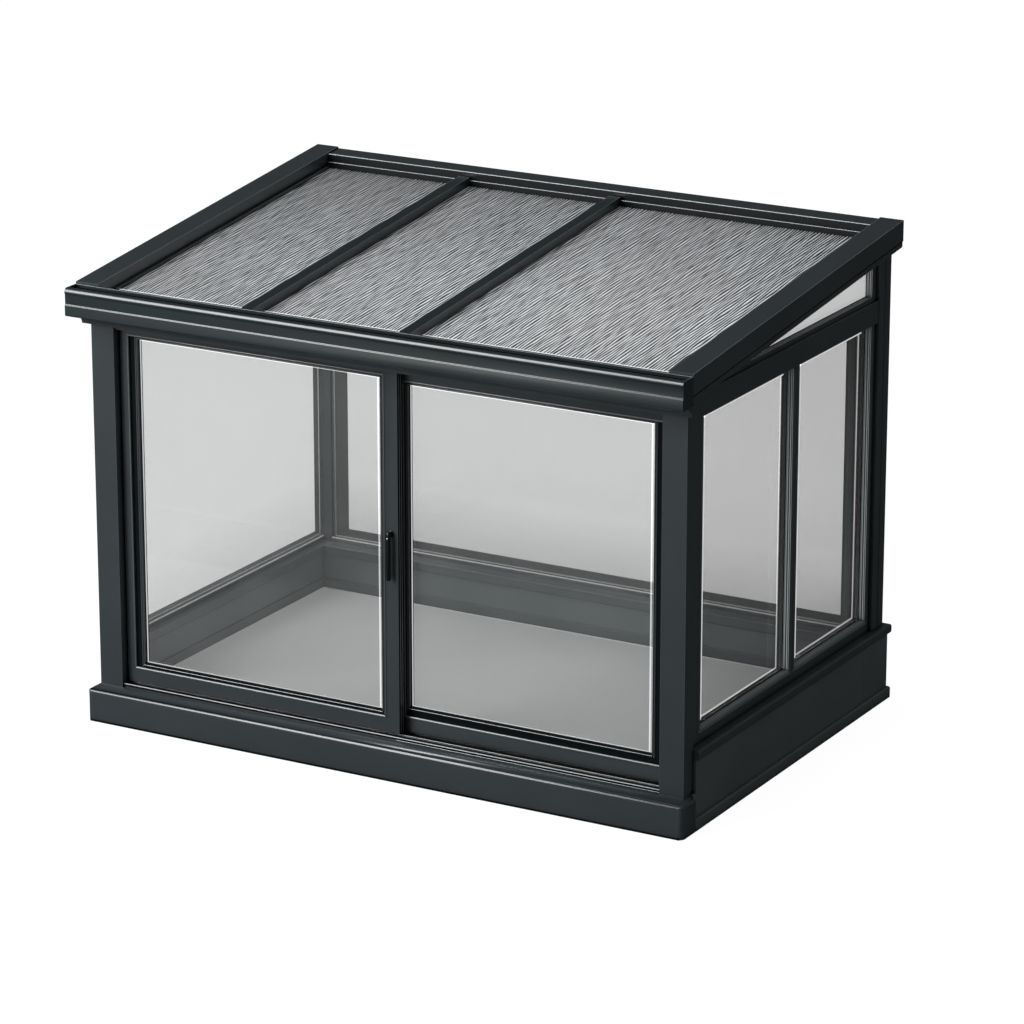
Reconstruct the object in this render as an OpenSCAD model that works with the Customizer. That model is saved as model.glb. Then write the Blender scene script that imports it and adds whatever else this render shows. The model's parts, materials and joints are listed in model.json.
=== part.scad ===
// Lean-to conservatory: dwarf walls, glazed sides, ribbed roof sheets and one sliding door.
// Millimetres. X runs to the right, Y to the back, Z up from the ground.

/* [Overall] */
// Width over the corner posts
frame_width = 3230; // [2800:10:3800]
// Depth over the corner posts
frame_depth = 2140; // [1900:10:2600]
// Height of the gutter's top edge
eaves_height = 2213; // [2180:1:2500]
// Slope of the roof in degrees
roof_pitch = 6; // [5:0.5:10]
// Gap left where pieces meet on the roof's slope
fit_gap = 0.2; // [0.1:0.1:0.5]

/* [Posts] */
// Width of every corner post, which is also the thickness of the side dwarf walls
post_width = 127; // [110:1:150]
// Depth of a front post's flush part
front_post_depth = 90; // [70:1:110]
// Depth of a front post's recessed part, behind the flush part
front_post_return = 60; // [55:1:80]
// Depth of a rear post
rear_post_depth = 127; // [110:1:150]
// Width of the groove down a rear post's outer side
post_groove = 5; // [3:1:8]

/* [Base] */
// How far the plinth stands in front of the posts
plinth_reach = 75; // [55:1:95]
// Depth of the plinth's returns, measured back from the posts' front faces
plinth_return = 60; // [45:1:70]
// Height of the plinth's flat top
plinth_height = 178; // [150:1:200]
// Fall of the plinth's top towards its nose
plinth_fall = 13; // [8:1:20]
// How far the plinth's flat top shows in front of the posts
plinth_seat = 5; // [2:1:10]
// Radius of the plinth's nose
plinth_radius = 18; // [8:1:24]
// Radius of the plinth's upright corners
plinth_corner = 30; // [15:1:40]
// How far plinth ends, sill caps and skirtings stand out from the side and rear walls
nose_reach = 35; // [20:1:50]

/* [Dwarf walls] */
// Height of the dwarf walls above the plinth's flat top, under their sill caps
wall_rise = 162; // [100:1:240]
// Distance that the dwarf walls stand out past the posts
wall_reach = 20; // [10:1:28]
// Radius of the rounded edges of the caps and skirtings
nose_radius = 12; // [6:1:16]
// Thickness of the rear dwarf wall
rear_wall_depth = 265; // [220:1:300]
// Height of a sill cap
cap_height = 48; // [30:1:60]
// How far a sill cap stands into the room from its wall
cap_inner_reach = 10; // [5:1:20]
// Height of the skirting at the foot of each wall
skirting_height = 60; // [40:1:90]

/* [Floor] */
// Drop from the plinth's flat top to the floor
floor_drop = 28; // [15:1:40]
// Thickness of the floor deck
deck_thickness = 40; // [25:1:50]
// Width of a floor bearer
bearer_width = 70; // [50:1:100]
// Number of floor bearers
bearer_count = 4; // [3:1:6]

/* [Windows] */
// How far the side window frames sit behind the post faces
frame_recess = 20; // [10:1:30]
// Depth of a window frame from outside to inside
window_depth = 68; // [50:1:75]
// How far the glass sits behind the frame's outer face
glass_recess = 34; // [20:1:36]
// Thickness of a glass unit
glass_thickness = 24; // [10:1:28]
// Face width of the front jamb of a side window
front_jamb = 47; // [35:1:70]
// Face width of the rear jamb of a side window
rear_jamb = 45; // [35:1:70]
// Face width of the jambs of the rear window
rear_window_jamb = 52; // [45:1:80]
// Height of the bottom rail of the right window
right_rail = 67; // [40:1:90]
// Height of the bottom rail of the left window and the rear window
low_rail = 18; // [12:1:40]
// Height of a window's top rail, which the transom half hides
top_rail = 12; // [8:1:30]
// Face width of the mullion in the right window
mullion_width = 62; // [45:1:80]
// How far the mullion stands behind the middle of the right window
mullion_offset = 70; // [0:1:120]
// Drop from the gutter's top edge to the transoms' undersides
transom_drop = 243; // [235:1:300]
// Height of a transom
transom_height = 110; // [80:1:130]
// How far the side transoms sit behind the post faces
transom_recess = 4; // [2:1:8]
// Height of the glazing bar above a transom
light_sill = 22; // [15:1:30]
// Height of the glazing bar under a verge or the ridge beam
light_head = 16; // [10:1:20]

/* [Door] */
// How far the sliding leaf sits behind the posts' front faces
door_setback = 45; // [40:1:50]
// Thickness of a door leaf
leaf_depth = 42; // [36:1:44]
// Distance from the front track to the rear track
track_pitch = 57; // [54:1:60]
// Clearance around the sliding leaf
leaf_clearance = 5; // [5:1:6]
// Thickness of the track's base plate
track_base = 6; // [4:1:8]
// Height of a track rail above the base plate
rail_height = 8; // [6:1:12]
// Width of a track rail
rail_width = 5; // [4:1:6]
// Height of the lip in front of the track
lip_height = 11; // [8:1:14]
// Gap between a roller and its rail
roller_gap = 0.3; // [0.2:0.1:0.5]
// Radius of a roller
roller_radius = 13; // [10:1:15]
// Width of a roller
roller_width = 8; // [6:1:10]
// Radius of a roller's axle
axle_radius = 4; // [3:0.5:5]
// Width of the outer stiles of the door leaves
outer_stile = 52; // [45:1:70]
// Width of the meeting stile of the sliding leaf
meeting_stile = 80; // [65:1:95]
// Position of the meeting stile's right edge, right of the middle
meeting_edge = 70; // [60:1:100]
// Width of the fixed leaf's meeting stile, behind the sliding leaf's
fixed_meeting_stile = 86; // [70:1:100]
// Height of a leaf's bottom rail
bottom_rail = 80; // [60:1:95]
// Height of the sliding leaf's top rail
sliding_top_rail = 50; // [40:1:70]
// Height of the fixed leaf's top rail below the header
fixed_top_rail = 67; // [45:1:90]
// How far the beads sit behind a leaf's face
bead_recess = 12; // [8:1:18]
// Width of the beads beside the outer stiles
outer_bead = 46; // [30:1:60]
// Width of the beads beside the meeting stiles
inner_bead = 20; // [12:1:30]
// Width of the bottom and top beads of the sliding leaf
sliding_bead = 24; // [12:1:35]
// Width of the bottom bead of the fixed leaf
fixed_bead = 46; // [30:1:60]
// How far the glass sits behind a leaf's face
leaf_glass_recess = 22; // [19:1:24]
// Thickness of the leaves' glass
leaf_glass = 16; // [8:1:17]

/* [Handle] */
// Height of the handle's middle
handle_level = 1088; // [950:1:1200]
// Length of the handle
handle_length = 240; // [180:1:300]
// Width of the handle's bar
handle_width = 24; // [16:1:30]
// Thickness of the handle's bar
handle_thickness = 12; // [8:1:16]
// Gap between the handle's bar and the stile
handle_gap = 20; // [15:1:24]
// Radius of the handle's round rose
rose_radius = 17; // [14:1:22]
// Thickness of the rose
rose_thickness = 6; // [4:1:8]
// Radius of the handle's neck
neck_radius = 9; // [7:1:11]

/* [Head and gutter] */
// How far the gutter's face stands in front of the posts
gutter_reach = 145; // [125:1:165]
// Depth of the gutter from front to back
gutter_depth = 100; // [85:1:110]
// Height of the gutter's face
gutter_height = 140; // [110:1:160]
// How far the gutter and the verges stand out from the side walls
verge_reach = 50; // [40:1:70]
// Thickness of the gutter's front wall
gutter_lip = 26; // [16:1:32]
// Thickness of the gutter's floor, back and ends
gutter_wall = 6; // [4:1:10]
// Radius of the rounded nose along the gutter's top edge
gutter_radius = 20; // [12:1:24]
// Height of the ledge along the gutter's face, above its underside
gutter_line = 56; // [35:1:80]
// Radius of the gutter's lower front edge
gutter_foot_radius = 8; // [4:1:16]
// Depth of the recess in the gutter's face, between the ledge and the nose
gutter_step = 4; // [2:1:6]
// Height of the moulding under the gutter
mould_height = 58; // [40:1:70]
// How far the moulding stands in front of the posts
mould_reach = 62; // [56:1:70]
// Radius of the moulding's hollow
mould_hollow = 35; // [20:1:38]
// Height of the header, from its underside up to the gutter's floor
header_height = 78; // [70:1:90]
// Depth of the grooves in the header
groove_depth = 50; // [40:1:60]
// How far the sliding leaf reaches up into its groove
leaf_engagement = 17; // [12:1:25]
// How far the header sits behind the posts' front faces
header_setback = 12; // [6:1:18]
// Thickness of the header's rear lip
header_lip = 6; // [4:1:8]

/* [Roof] */
// Width of a verge
verge_width = 125; // [100:1:150]
// Depth of a verge, measured upright
verge_depth = 135; // [125:1:150]
// Height of the lower band along a verge's side
verge_band = 36; // [25:1:44]
// Step in from a verge's side to its lower band
verge_step = 4; // [3:1:10]
// How far the verges reach behind the rear posts
verge_rear_reach = 20; // [10:1:30]
// Depth from the verges' tops down to the roof sheets
sheet_drop = 73; // [60:1:80]
// Thickness of a roof sheet
sheet_thickness = 16; // [10:1:20]
// How far a verge grips the edge of its sheet
sheet_grip = 20; // [12:1:28]
// Height of the strip that holds the sheets' edges down
grip_height = 12; // [8:1:16]
// Height of the glazing bars above the sheets
bar_height = 45; // [30:1:50]
// Width of a glazing bar's cap
bar_width = 62; // [45:1:80]
// Width of a glazing bar's web between two sheets
bar_web = 10; // [8:1:16]
// Gap between the gutter's back and the glazing bars' front ends
bar_front_gap = 30; // [20:1:60]
// Depth of a glazing bar's rafter under the sheets
rafter_depth = 55; // [40:1:70]
// Width of a glazing bar's rafter
rafter_width = 44; // [30:1:60]
// Distance from the middle to the left glazing bar
left_bar_offset = 725; // [500:5:900]
// Distance from the middle to the right glazing bar
right_bar_offset = 140; // [50:2:400]
// Distance from the posts' front faces back to the sheets' lower edges
sheet_start = 90; // [75:1:120]
// How far the eaves rail reaches under the sheets
eaves_seat = 55; // [40:1:80]
// How far the eaves rail's top falls towards the gutter
eaves_fall = 8; // [4:1:12]
// Width of the rib along the eaves rail
eaves_rib_width = 8; // [5:1:12]
// Height of that rib
eaves_rib_height = 8; // [5:1:12]
// Distance from that rib back to the sheets' lower edges
eaves_rib_setback = 32; // [20:1:40]
// Depth of the ridge beam's top, from front to back
ridge_top = 100; // [85:1:130]
// How far the ridge beam's top lies below the verges' tops
ridge_drop = 8; // [4:1:12]
// Height of the ridge beam's upper face
ridge_face = 38; // [30:1:44]
// Depth of the step below that face
ridge_step = 14; // [8:1:25]

/* [Hidden] */

$fn = 48;

// How far joined shapes reach into each other, and cuts reach past a face
overlap = 1;
// Distance from a leaf's edges in to its rollers
roller_inset = 180;
// Clearance between a roller and its pocket, round it and beside it
pocket_margin = 3;

frame_colour = [0.21, 0.25, 0.27];
side_colour = [0.17, 0.20, 0.22];
floor_colour = [0.65, 0.66, 0.66];
glass_colour = [0.78, 0.82, 0.82, 0.4];
sheet_colour = [0.72, 0.74, 0.74];
black_colour = [0.06, 0.07, 0.07];

// Sides, seen from the middle of the part's footprint
side_x = frame_width / 2;
front_y = gutter_reach - (gutter_reach + frame_depth + nose_reach) / 2;
rear_y = front_y + frame_depth;
inner_x = side_x - post_width;
front_post_back = front_y + front_post_depth + front_post_return;
rear_post_front = rear_y - rear_post_depth;
rear_wall_front = rear_y - rear_wall_depth;
wall_height = plinth_height + wall_rise;
floor_level = plinth_height - floor_drop;
cap_top = wall_height + cap_height;
verge_x = side_x + verge_reach;
verge_inner_x = verge_x - verge_width;
gutter_front = front_y - gutter_reach;
gutter_back = gutter_front + gutter_depth;
gutter_floor = eaves_height - gutter_height;
header_level = gutter_floor - header_height;
roof_rear = rear_y + verge_rear_reach;
sheet_front = front_y + sheet_start;
sheet_rear = roof_rear - ridge_top - ridge_step;
sheet_bottom = sheet_drop + sheet_thickness;
under_verge = verge_depth + fit_gap;

// Window planes, measured out from the middle on the right side
window_face = side_x - frame_recess;
window_inner = window_face - window_depth;
pane_face = window_face - glass_recess;
transom_level = eaves_height - transom_drop;
transom_top = transom_level + transom_height;
light_level = transom_top + light_sill;

// Door levels and planes
track_top = plinth_height + track_base;
rail_top = track_top + rail_height;
leaf_bottom = rail_top + leaf_clearance;
leaf_top = header_level + leaf_engagement;
sliding_front = front_y + door_setback;
fixed_front = sliding_front + track_pitch;
sliding_left = -inner_x + leaf_clearance;
fixed_left = meeting_edge - meeting_stile - leaf_clearance;
fixed_top = header_level + groove_depth;

// Height of the plane through the verges' tops, less a drop
function roof_z(y, drop = 0) = eaves_height + (y - gutter_front) * tan(roof_pitch) - drop;

// A block between two corners
module block(low, high) {
    translate(low) cube([high[0] - low[0], high[1] - low[1], high[2] - low[2]]);
}

// An outline in Y and Z, extruded along X
module slab_x(x0, x1, outline) {
    translate([x0, 0, 0]) rotate([90, 0, 90]) linear_extrude(x1 - x0) polygon(outline);
}

// A bar that follows the roof's slope, with upright ends
module sloped_bar(x0, x1, y0, y1, drop_top, drop_bottom) {
    slab_x(x0, x1, [[y0, roof_z(y0, drop_bottom)], [y1, roof_z(y1, drop_bottom)],
        [y1, roof_z(y1, drop_top)], [y0, roof_z(y0, drop_top)]]);
}

// The right side's modules are mirrored for the left side
module left_side() { mirror([1, 0, 0]) children(); }

// ---- Base ----

// The plinth's section: a rounded nose, a top that falls towards it, and a flat seat for the posts
module plinth_section(depth) {
    nose_top = plinth_height - plinth_fall;
    difference() {
        polygon([[front_y - plinth_reach, 0], [front_y + depth, 0], [front_y + depth, plinth_height],
            [front_y - plinth_seat, plinth_height], [front_y - plinth_reach + plinth_radius, nose_top],
            [front_y - plinth_reach, nose_top]]);
        translate([front_y - plinth_reach, nose_top - plinth_radius]) difference() {
            translate([-overlap, 0]) square([plinth_radius + overlap, plinth_radius + overlap]);
            translate([plinth_radius, 0]) circle(plinth_radius);
        }
    }
}

// A rectangle with two rounded front corners, in plan
module plinth_plan() {
    half = side_x + nose_reach;
    y0 = front_y - plinth_reach;
    r = plinth_corner;
    union() {
        translate([-half + r, y0]) square([2 * (half - r), r + overlap]);
        translate([-half, y0 + r]) square([2 * half, plinth_reach + plinth_return - r]);
        for (side = [-1, 1]) translate([side * (half - r), y0 + r]) circle(r);
    }
}

module front_plinth() {
    color(frame_colour) union() {
        intersection() {
            linear_extrude(plinth_height) plinth_plan();
            translate([-side_x - nose_reach, 0, 0]) rotate([90, 0, 90])
                linear_extrude(2 * (side_x + nose_reach)) plinth_section(plinth_return);
            plinth_ends();
        }
        block([-inner_x, front_y + plinth_return - overlap, 0],
            [inner_x, front_post_back, plinth_height]);
    }
}

// The plinth's front view, with its two end noses rounded
module plinth_ends() {
    half = side_x + nose_reach;
    nose_top = plinth_height - plinth_fall;
    r = plinth_radius;
    translate([0, front_post_back, 0]) rotate([90, 0, 0])
        linear_extrude(front_post_back - front_y + plinth_reach + overlap) union() {
            translate([-half, 0]) square([2 * half, nose_top - r]);
            polygon([[-half + r, nose_top - r - overlap], [half - r, nose_top - r - overlap],
                [half - r, nose_top], [side_x, plinth_height], [-side_x, plinth_height],
                [-half + r, nose_top]]);
            for (side = [-1, 1]) translate([side * (half - r), nose_top - r]) circle(r);
        }
}

module track_rail(y, width, height) {
    block([-inner_x, y, track_top - overlap], [inner_x, y + width, track_top + height]);
}

module door_track() {
    color(side_colour) union() {
        block([-inner_x, front_y + header_setback, plinth_height],
            [inner_x, front_post_back, track_top]);
        track_rail(front_y + header_setback, header_lip, lip_height);
        track_rail(sliding_front + (leaf_depth - rail_width) / 2, rail_width, rail_height);
        track_rail(fixed_front + (leaf_depth - rail_width) / 2, rail_width, rail_height);
    }
}

module floor_deck() {
    color(floor_colour)
        block([-inner_x, front_post_back, floor_level - deck_thickness],
            [inner_x, rear_wall_front, floor_level]);
}

module floor_bearers() {
    run = rear_wall_front - front_post_back;
    pitch = run / bearer_count;
    color(side_colour) for (i = [0 : bearer_count - 1])
        translate([-inner_x, front_post_back + (i + 0.5) * pitch - bearer_width / 2, 0])
            cube([2 * inner_x, bearer_width, floor_level - deck_thickness]);
}

// ---- Dwarf walls and sill caps ----

// A skirting's rounded section stands out from a wall's face, which is at x = 0
module skirting_section() {
    r = nose_radius;
    union() {
        square([nose_reach, skirting_height - r]);
        square([nose_reach - r, skirting_height]);
        translate([nose_reach - r, skirting_height - r]) circle(r);
    }
}

module side_dwarf_wall() {
    foot_front = front_y + plinth_return;
    panel_front = front_y + front_post_depth;
    color(side_colour) union() {
        slab_x(inner_x, side_x + wall_reach, [[foot_front, 0], [rear_wall_front, 0],
            [rear_wall_front, wall_height], [panel_front, wall_height],
            [panel_front, plinth_height], [foot_front, plinth_height]]);
        translate([side_x, rear_wall_front, 0]) rotate([90, 0, 0])
            linear_extrude(rear_wall_front - foot_front) skirting_section();
    }
}

module rear_dwarf_wall() {
    color(side_colour) union() {
        block([-side_x - wall_reach, rear_wall_front, 0],
            [side_x + wall_reach, rear_y + wall_reach, wall_height]);
        // Skirting along the back and round both corners
        intersection() {
            union() {
                for (side = [0, 1]) mirror([side, 0, 0])
                    translate([side_x, rear_y + nose_reach, 0]) rotate([90, 0, 0])
                        linear_extrude(rear_wall_depth + nose_reach) skirting_section();
                translate([-side_x - nose_reach, rear_y, 0]) rotate([90, 0, 90])
                    linear_extrude(2 * (side_x + nose_reach)) skirting_section();
            }
            skirting_corner_trim();
        }
    }
}

// Keeps the skirting's mitred corners inside both sections
module skirting_corner_trim() {
    half = side_x + nose_reach;
    r = nose_radius;
    intersection() {
        translate([0, rear_y + nose_reach, 0]) rotate([90, 0, 0])
            linear_extrude(rear_wall_depth + nose_reach) union() {
                translate([-half, 0]) square([2 * half, skirting_height - r]);
                translate([-half + r, 0]) square([2 * (half - r), skirting_height]);
                for (side = [-1, 1]) translate([side * (half - r), skirting_height - r]) circle(r);
            }
        translate([-half, rear_y, 0]) rotate([90, 0, 90]) linear_extrude(2 * half) union() {
            translate([-rear_wall_depth, 0]) square([rear_wall_depth + overlap, skirting_height]);
            skirting_section();
        }
    }
}

// A cap's section from x = start to x = end, with both corners at the end rounded
module cap_section(start, end) {
    r = nose_radius;
    union() {
        translate([start, 0]) square([end - r - start, cap_height]);
        translate([end - r - overlap, r]) square([r + overlap, cap_height - 2 * r]);
        for (level = [r, cap_height - r]) translate([end - r, level]) circle(r);
    }
}

// A side cap, whose inner edge starts behind the door leaves
module side_sill_cap() {
    cap_front = front_y + front_post_depth;
    cap_rear = rear_wall_front - cap_inner_reach;
    color(side_colour) difference() {
        translate([side_x, cap_rear, wall_height]) rotate([90, 0, 0])
            linear_extrude(cap_rear - cap_front)
                cap_section(-post_width - cap_inner_reach, nose_reach);
        block([inner_x - cap_inner_reach - overlap, cap_front - overlap, wall_height - overlap],
            [inner_x, front_post_back, cap_top + overlap]);
    }
}

module rear_sill_cap() {
    half = side_x + nose_reach;
    color(side_colour) intersection() {
        translate([-half, rear_y, wall_height]) rotate([90, 0, 90])
            linear_extrude(2 * half) cap_section(-rear_wall_depth - cap_inner_reach, nose_reach);
        translate([0, rear_y + nose_reach, wall_height]) rotate([90, 0, 0])
            linear_extrude(rear_wall_depth + nose_reach + cap_inner_reach)
                for (side = [0, 1]) mirror([side, 0]) cap_section(-overlap, half);
    }
}

// ---- Posts ----

module front_post() {
    flush_back = front_y + front_post_depth;
    color(frame_colour) union() {
        slab_x(inner_x, side_x, [[front_y, plinth_height], [flush_back, plinth_height],
            [flush_back, roof_z(flush_back, under_verge)], [front_y, roof_z(front_y, under_verge)]]);
        slab_x(inner_x, window_face, [[flush_back - overlap, cap_top], [front_post_back, cap_top],
            [front_post_back, roof_z(front_post_back, under_verge)],
            [flush_back - overlap, roof_z(flush_back - overlap, under_verge)]]);
    }
}

module rear_post() {
    groove_y = rear_post_front + rear_post_depth / 2;
    color(frame_colour) difference() {
        slab_x(inner_x, side_x, [[rear_post_front, cap_top], [rear_y, cap_top],
            [rear_y, roof_z(rear_y, under_verge)],
            [rear_post_front, roof_z(rear_post_front, under_verge)]]);
        block([side_x - post_groove, groove_y - post_groove / 2, cap_top - overlap],
            [side_x + overlap, groove_y + post_groove / 2, eaves_height + frame_depth]);
    }
}

// ---- Side windows ----

window_front = front_post_back;
window_rear = rear_post_front;
mullion_y = (window_front + window_rear) / 2 + mullion_offset;
pane_top = transom_level - top_rail;

// An upright panel in the side wall's plane: x from the room outwards, y to the back, z up
module side_panel(x0, x1, y0, y1, z0, z1) {
    block([x0, y0, z0], [x1, y1, z1]);
}

module side_window_frame(rail, with_mullion) {
    color(side_colour) union() {
        difference() {
            side_panel(window_inner, window_face, window_front, window_rear, cap_top, transom_level);
            side_panel(window_inner - overlap, window_face + overlap, window_front + front_jamb,
                window_rear - rear_jamb, cap_top + rail, pane_top);
        }
        if (with_mullion)
            side_panel(window_inner, window_face, mullion_y - mullion_width / 2,
                mullion_y + mullion_width / 2, cap_top + rail - overlap, pane_top + overlap);
    }
}

module side_pane(y0, y1, rail) {
    color(glass_colour)
        side_panel(pane_face - glass_thickness, pane_face, y0, y1, cap_top + rail, pane_top);
}

module left_pane() {
    left_side() side_pane(window_front + front_jamb, window_rear - rear_jamb, low_rail);
}

module right_panes() {
    side_pane(window_front + front_jamb, mullion_y - mullion_width / 2, right_rail);
    side_pane(mullion_y + mullion_width / 2, window_rear - rear_jamb, right_rail);
}

// A side transom, with the sill bar, head bar and end bars of the glazing above it
module side_transom() {
    light_front = window_front + front_jamb;
    light_rear = window_rear - rear_jamb;
    color(side_colour) union() {
        block([window_inner, window_front, transom_level],
            [side_x - transom_recess, window_rear, transom_top]);
        // Its outer part runs on to the front post's flush side
        block([window_face, front_y + front_post_depth, transom_level],
            [side_x - transom_recess, window_front + overlap, transom_top]);
        difference() {
            slab_x(window_inner, window_face, [[window_front, transom_top - overlap],
                [window_rear, transom_top - overlap], [window_rear, roof_z(window_rear, under_verge)],
                [window_front, roof_z(window_front, under_verge)]]);
            slab_x(window_inner - overlap, window_face + overlap, side_light_outline());
        }
    }
}

// The glazed triangle over a side transom
function side_light_outline() =
    let (rear = window_rear - rear_jamb,
        drop = verge_depth + light_head,
        tip = gutter_front + (light_level + drop - eaves_height) / tan(roof_pitch),
        front = max(tip, window_front + front_jamb))
    [[front, light_level], [rear, light_level], [rear, roof_z(rear, drop)],
        [front, roof_z(front, drop) + 0.01]];

module side_top_light() {
    color(glass_colour) slab_x(pane_face - glass_thickness, pane_face, side_light_outline());
}

// ---- Rear window ----

rear_window_x = window_inner;
rear_frame_front = rear_post_front - window_depth;
rear_opening_x = rear_window_x - rear_window_jamb;
rear_head = roof_z(rear_frame_front, verge_depth);

module rear_window_frame() {
    color(side_colour) difference() {
        block([-rear_window_x, rear_frame_front, cap_top],
            [rear_window_x, rear_post_front, transom_level]);
        block([-rear_opening_x, rear_frame_front - overlap, cap_top + low_rail],
            [rear_opening_x, rear_post_front + overlap, pane_top]);
    }
}

module rear_pane() {
    color(glass_colour)
        block([-rear_opening_x, rear_post_front - glass_recess - glass_thickness, cap_top + low_rail],
            [rear_opening_x, rear_post_front - glass_recess, pane_top]);
}

// The rear transom, with the frame of the glazing above it up to the ridge beam
module rear_transom() {
    color(side_colour) union() {
        block([-inner_x, rear_frame_front, transom_level], [inner_x, rear_post_front, transom_top]);
        block([-inner_x, rear_post_front - overlap, transom_level],
            [inner_x, rear_y - transom_recess, transom_top]);
        difference() {
            block([-inner_x, rear_frame_front, transom_top - overlap],
                [inner_x, rear_post_front, rear_head]);
            block([-rear_opening_x, rear_frame_front - overlap, light_level],
                [rear_opening_x, rear_post_front + overlap, rear_head - light_head]);
        }
    }
}

module rear_top_light() {
    color(glass_colour)
        block([-rear_opening_x, rear_post_front - glass_recess - glass_thickness, light_level],
            [rear_opening_x, rear_post_front - glass_recess, rear_head - light_head]);
}

// ---- Head, gutter and eaves ----

module door_header() {
    color(side_colour) difference() {
        block([-inner_x, front_y + header_setback, header_level],
            [inner_x, front_post_back, gutter_floor]);
        block([-inner_x - overlap, sliding_front - leaf_clearance, header_level - overlap],
            [inner_x + overlap, sliding_front + leaf_depth + leaf_clearance, fixed_top]);
        block([-inner_x - overlap, fixed_front, header_level - overlap],
            [inner_x + overlap, fixed_front + leaf_depth, fixed_top]);
    }
}

// The moulding's end view: an upright face over a quarter-round hollow
module mould_section() {
    difference() {
        translate([front_y - mould_reach, 0]) square([mould_reach, mould_height]);
        translate([front_y - mould_reach, 0]) circle(mould_hollow);
    }
}

module bed_mould() {
    half = side_x + nose_reach;
    color(frame_colour) translate([-half, 0, gutter_floor - mould_height]) rotate([90, 0, 90])
        linear_extrude(2 * half) mould_section();
}

// A rounded corner of a section, at the origin, filling the quadrant (+x, +y)
module round_edge_cut(r) {
    difference() {
        translate([-overlap, -overlap]) square([r + overlap, r + overlap]);
        translate([r, r]) circle(r);
    }
}

// The gutter's section: a moulded face, an open trough and a back wall
module gutter_section() {
    difference() {
        translate([gutter_front, gutter_floor]) square([gutter_depth, gutter_height]);
        translate([gutter_front + gutter_lip, gutter_floor + gutter_wall])
            square([gutter_depth - gutter_lip - gutter_wall, gutter_height]);
        // Recess in the face, from a sloping ledge up to the rounded nose
        difference() {
            polygon([[gutter_front - overlap, gutter_floor + gutter_line],
                [gutter_front, gutter_floor + gutter_line],
                [gutter_front + gutter_step, gutter_floor + gutter_line + gutter_step],
                [gutter_front + gutter_step, eaves_height - gutter_radius],
                [gutter_front - overlap, eaves_height - gutter_radius]]);
            translate([gutter_front + gutter_radius, eaves_height - gutter_radius])
                circle(gutter_radius);
        }
        translate([gutter_front, eaves_height]) mirror([0, 1]) round_edge_cut(gutter_radius);
        translate([gutter_front, gutter_floor]) round_edge_cut(gutter_foot_radius);
    }
}

module gutter() {
    color(frame_colour) union() {
        translate([-verge_x, 0, 0]) rotate([90, 0, 90]) linear_extrude(2 * verge_x) gutter_section();
        for (side = [-1, 1]) block(
            [side * (verge_x - gutter_wall / 2) - gutter_wall / 2, gutter_front + gutter_lip - overlap,
                gutter_floor + gutter_wall - overlap],
            [side * (verge_x - gutter_wall / 2) + gutter_wall / 2, gutter_back - gutter_wall + overlap,
                eaves_height]);
    }
}

// A rail between the front posts that carries the gutter's back and the sheets' lower edges
module eaves_rail() {
    seat_rear = sheet_front + eaves_seat;
    rail_level = roof_z(sheet_front, sheet_bottom);
    rib_rear = sheet_front - eaves_rib_setback;
    color(frame_colour) union() {
        slab_x(-inner_x, inner_x, [[gutter_back, gutter_floor], [seat_rear, gutter_floor],
            [seat_rear, roof_z(seat_rear, sheet_bottom)], [sheet_front, rail_level],
            [gutter_back, rail_level - eaves_fall]]);
        // Raised rib in front of the sheets
        block([-inner_x, rib_rear - eaves_rib_width, rail_level - eaves_fall],
            [inner_x, rib_rear, rail_level - eaves_fall + eaves_rib_height]);
    }
}

// ---- Roof ----

grip_x = verge_inner_x - sheet_grip;
left_bar_x = -left_bar_offset;
right_bar_x = right_bar_offset;

module verge() {
    color(frame_colour) union() {
        sloped_bar(verge_inner_x, verge_x, gutter_back, roof_rear, 0, verge_depth - verge_band);
        sloped_bar(verge_inner_x, verge_x - verge_step, gutter_back, roof_rear,
            verge_depth - verge_band - overlap, verge_depth);
        // Ledge and strip that grip the sheet's edge
        sloped_bar(grip_x, verge_inner_x + overlap, sheet_front, sheet_rear,
            sheet_bottom, verge_depth);
        sloped_bar(grip_x, verge_inner_x + overlap, sheet_front, sheet_rear,
            sheet_drop - grip_height, sheet_drop);
    }
}

module glazing_bar(x) {
    top = sheet_drop - bar_height;
    seat_rear = sheet_front + eaves_seat;
    color(frame_colour) union() {
        sloped_bar(x - bar_width / 2, x + bar_width / 2, gutter_back + bar_front_gap, sheet_rear,
            top, sheet_drop);
        sloped_bar(x - bar_web / 2, x + bar_web / 2, sheet_front, sheet_rear,
            sheet_drop - overlap, sheet_bottom - fit_gap);
        sloped_bar(x - bar_web / 2, x + bar_web / 2, seat_rear, rear_frame_front,
            sheet_bottom - overlap, sheet_bottom + overlap);
        sloped_bar(x - rafter_width / 2, x + rafter_width / 2, seat_rear, rear_frame_front,
            sheet_bottom, sheet_bottom + rafter_depth);
    }
}

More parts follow.
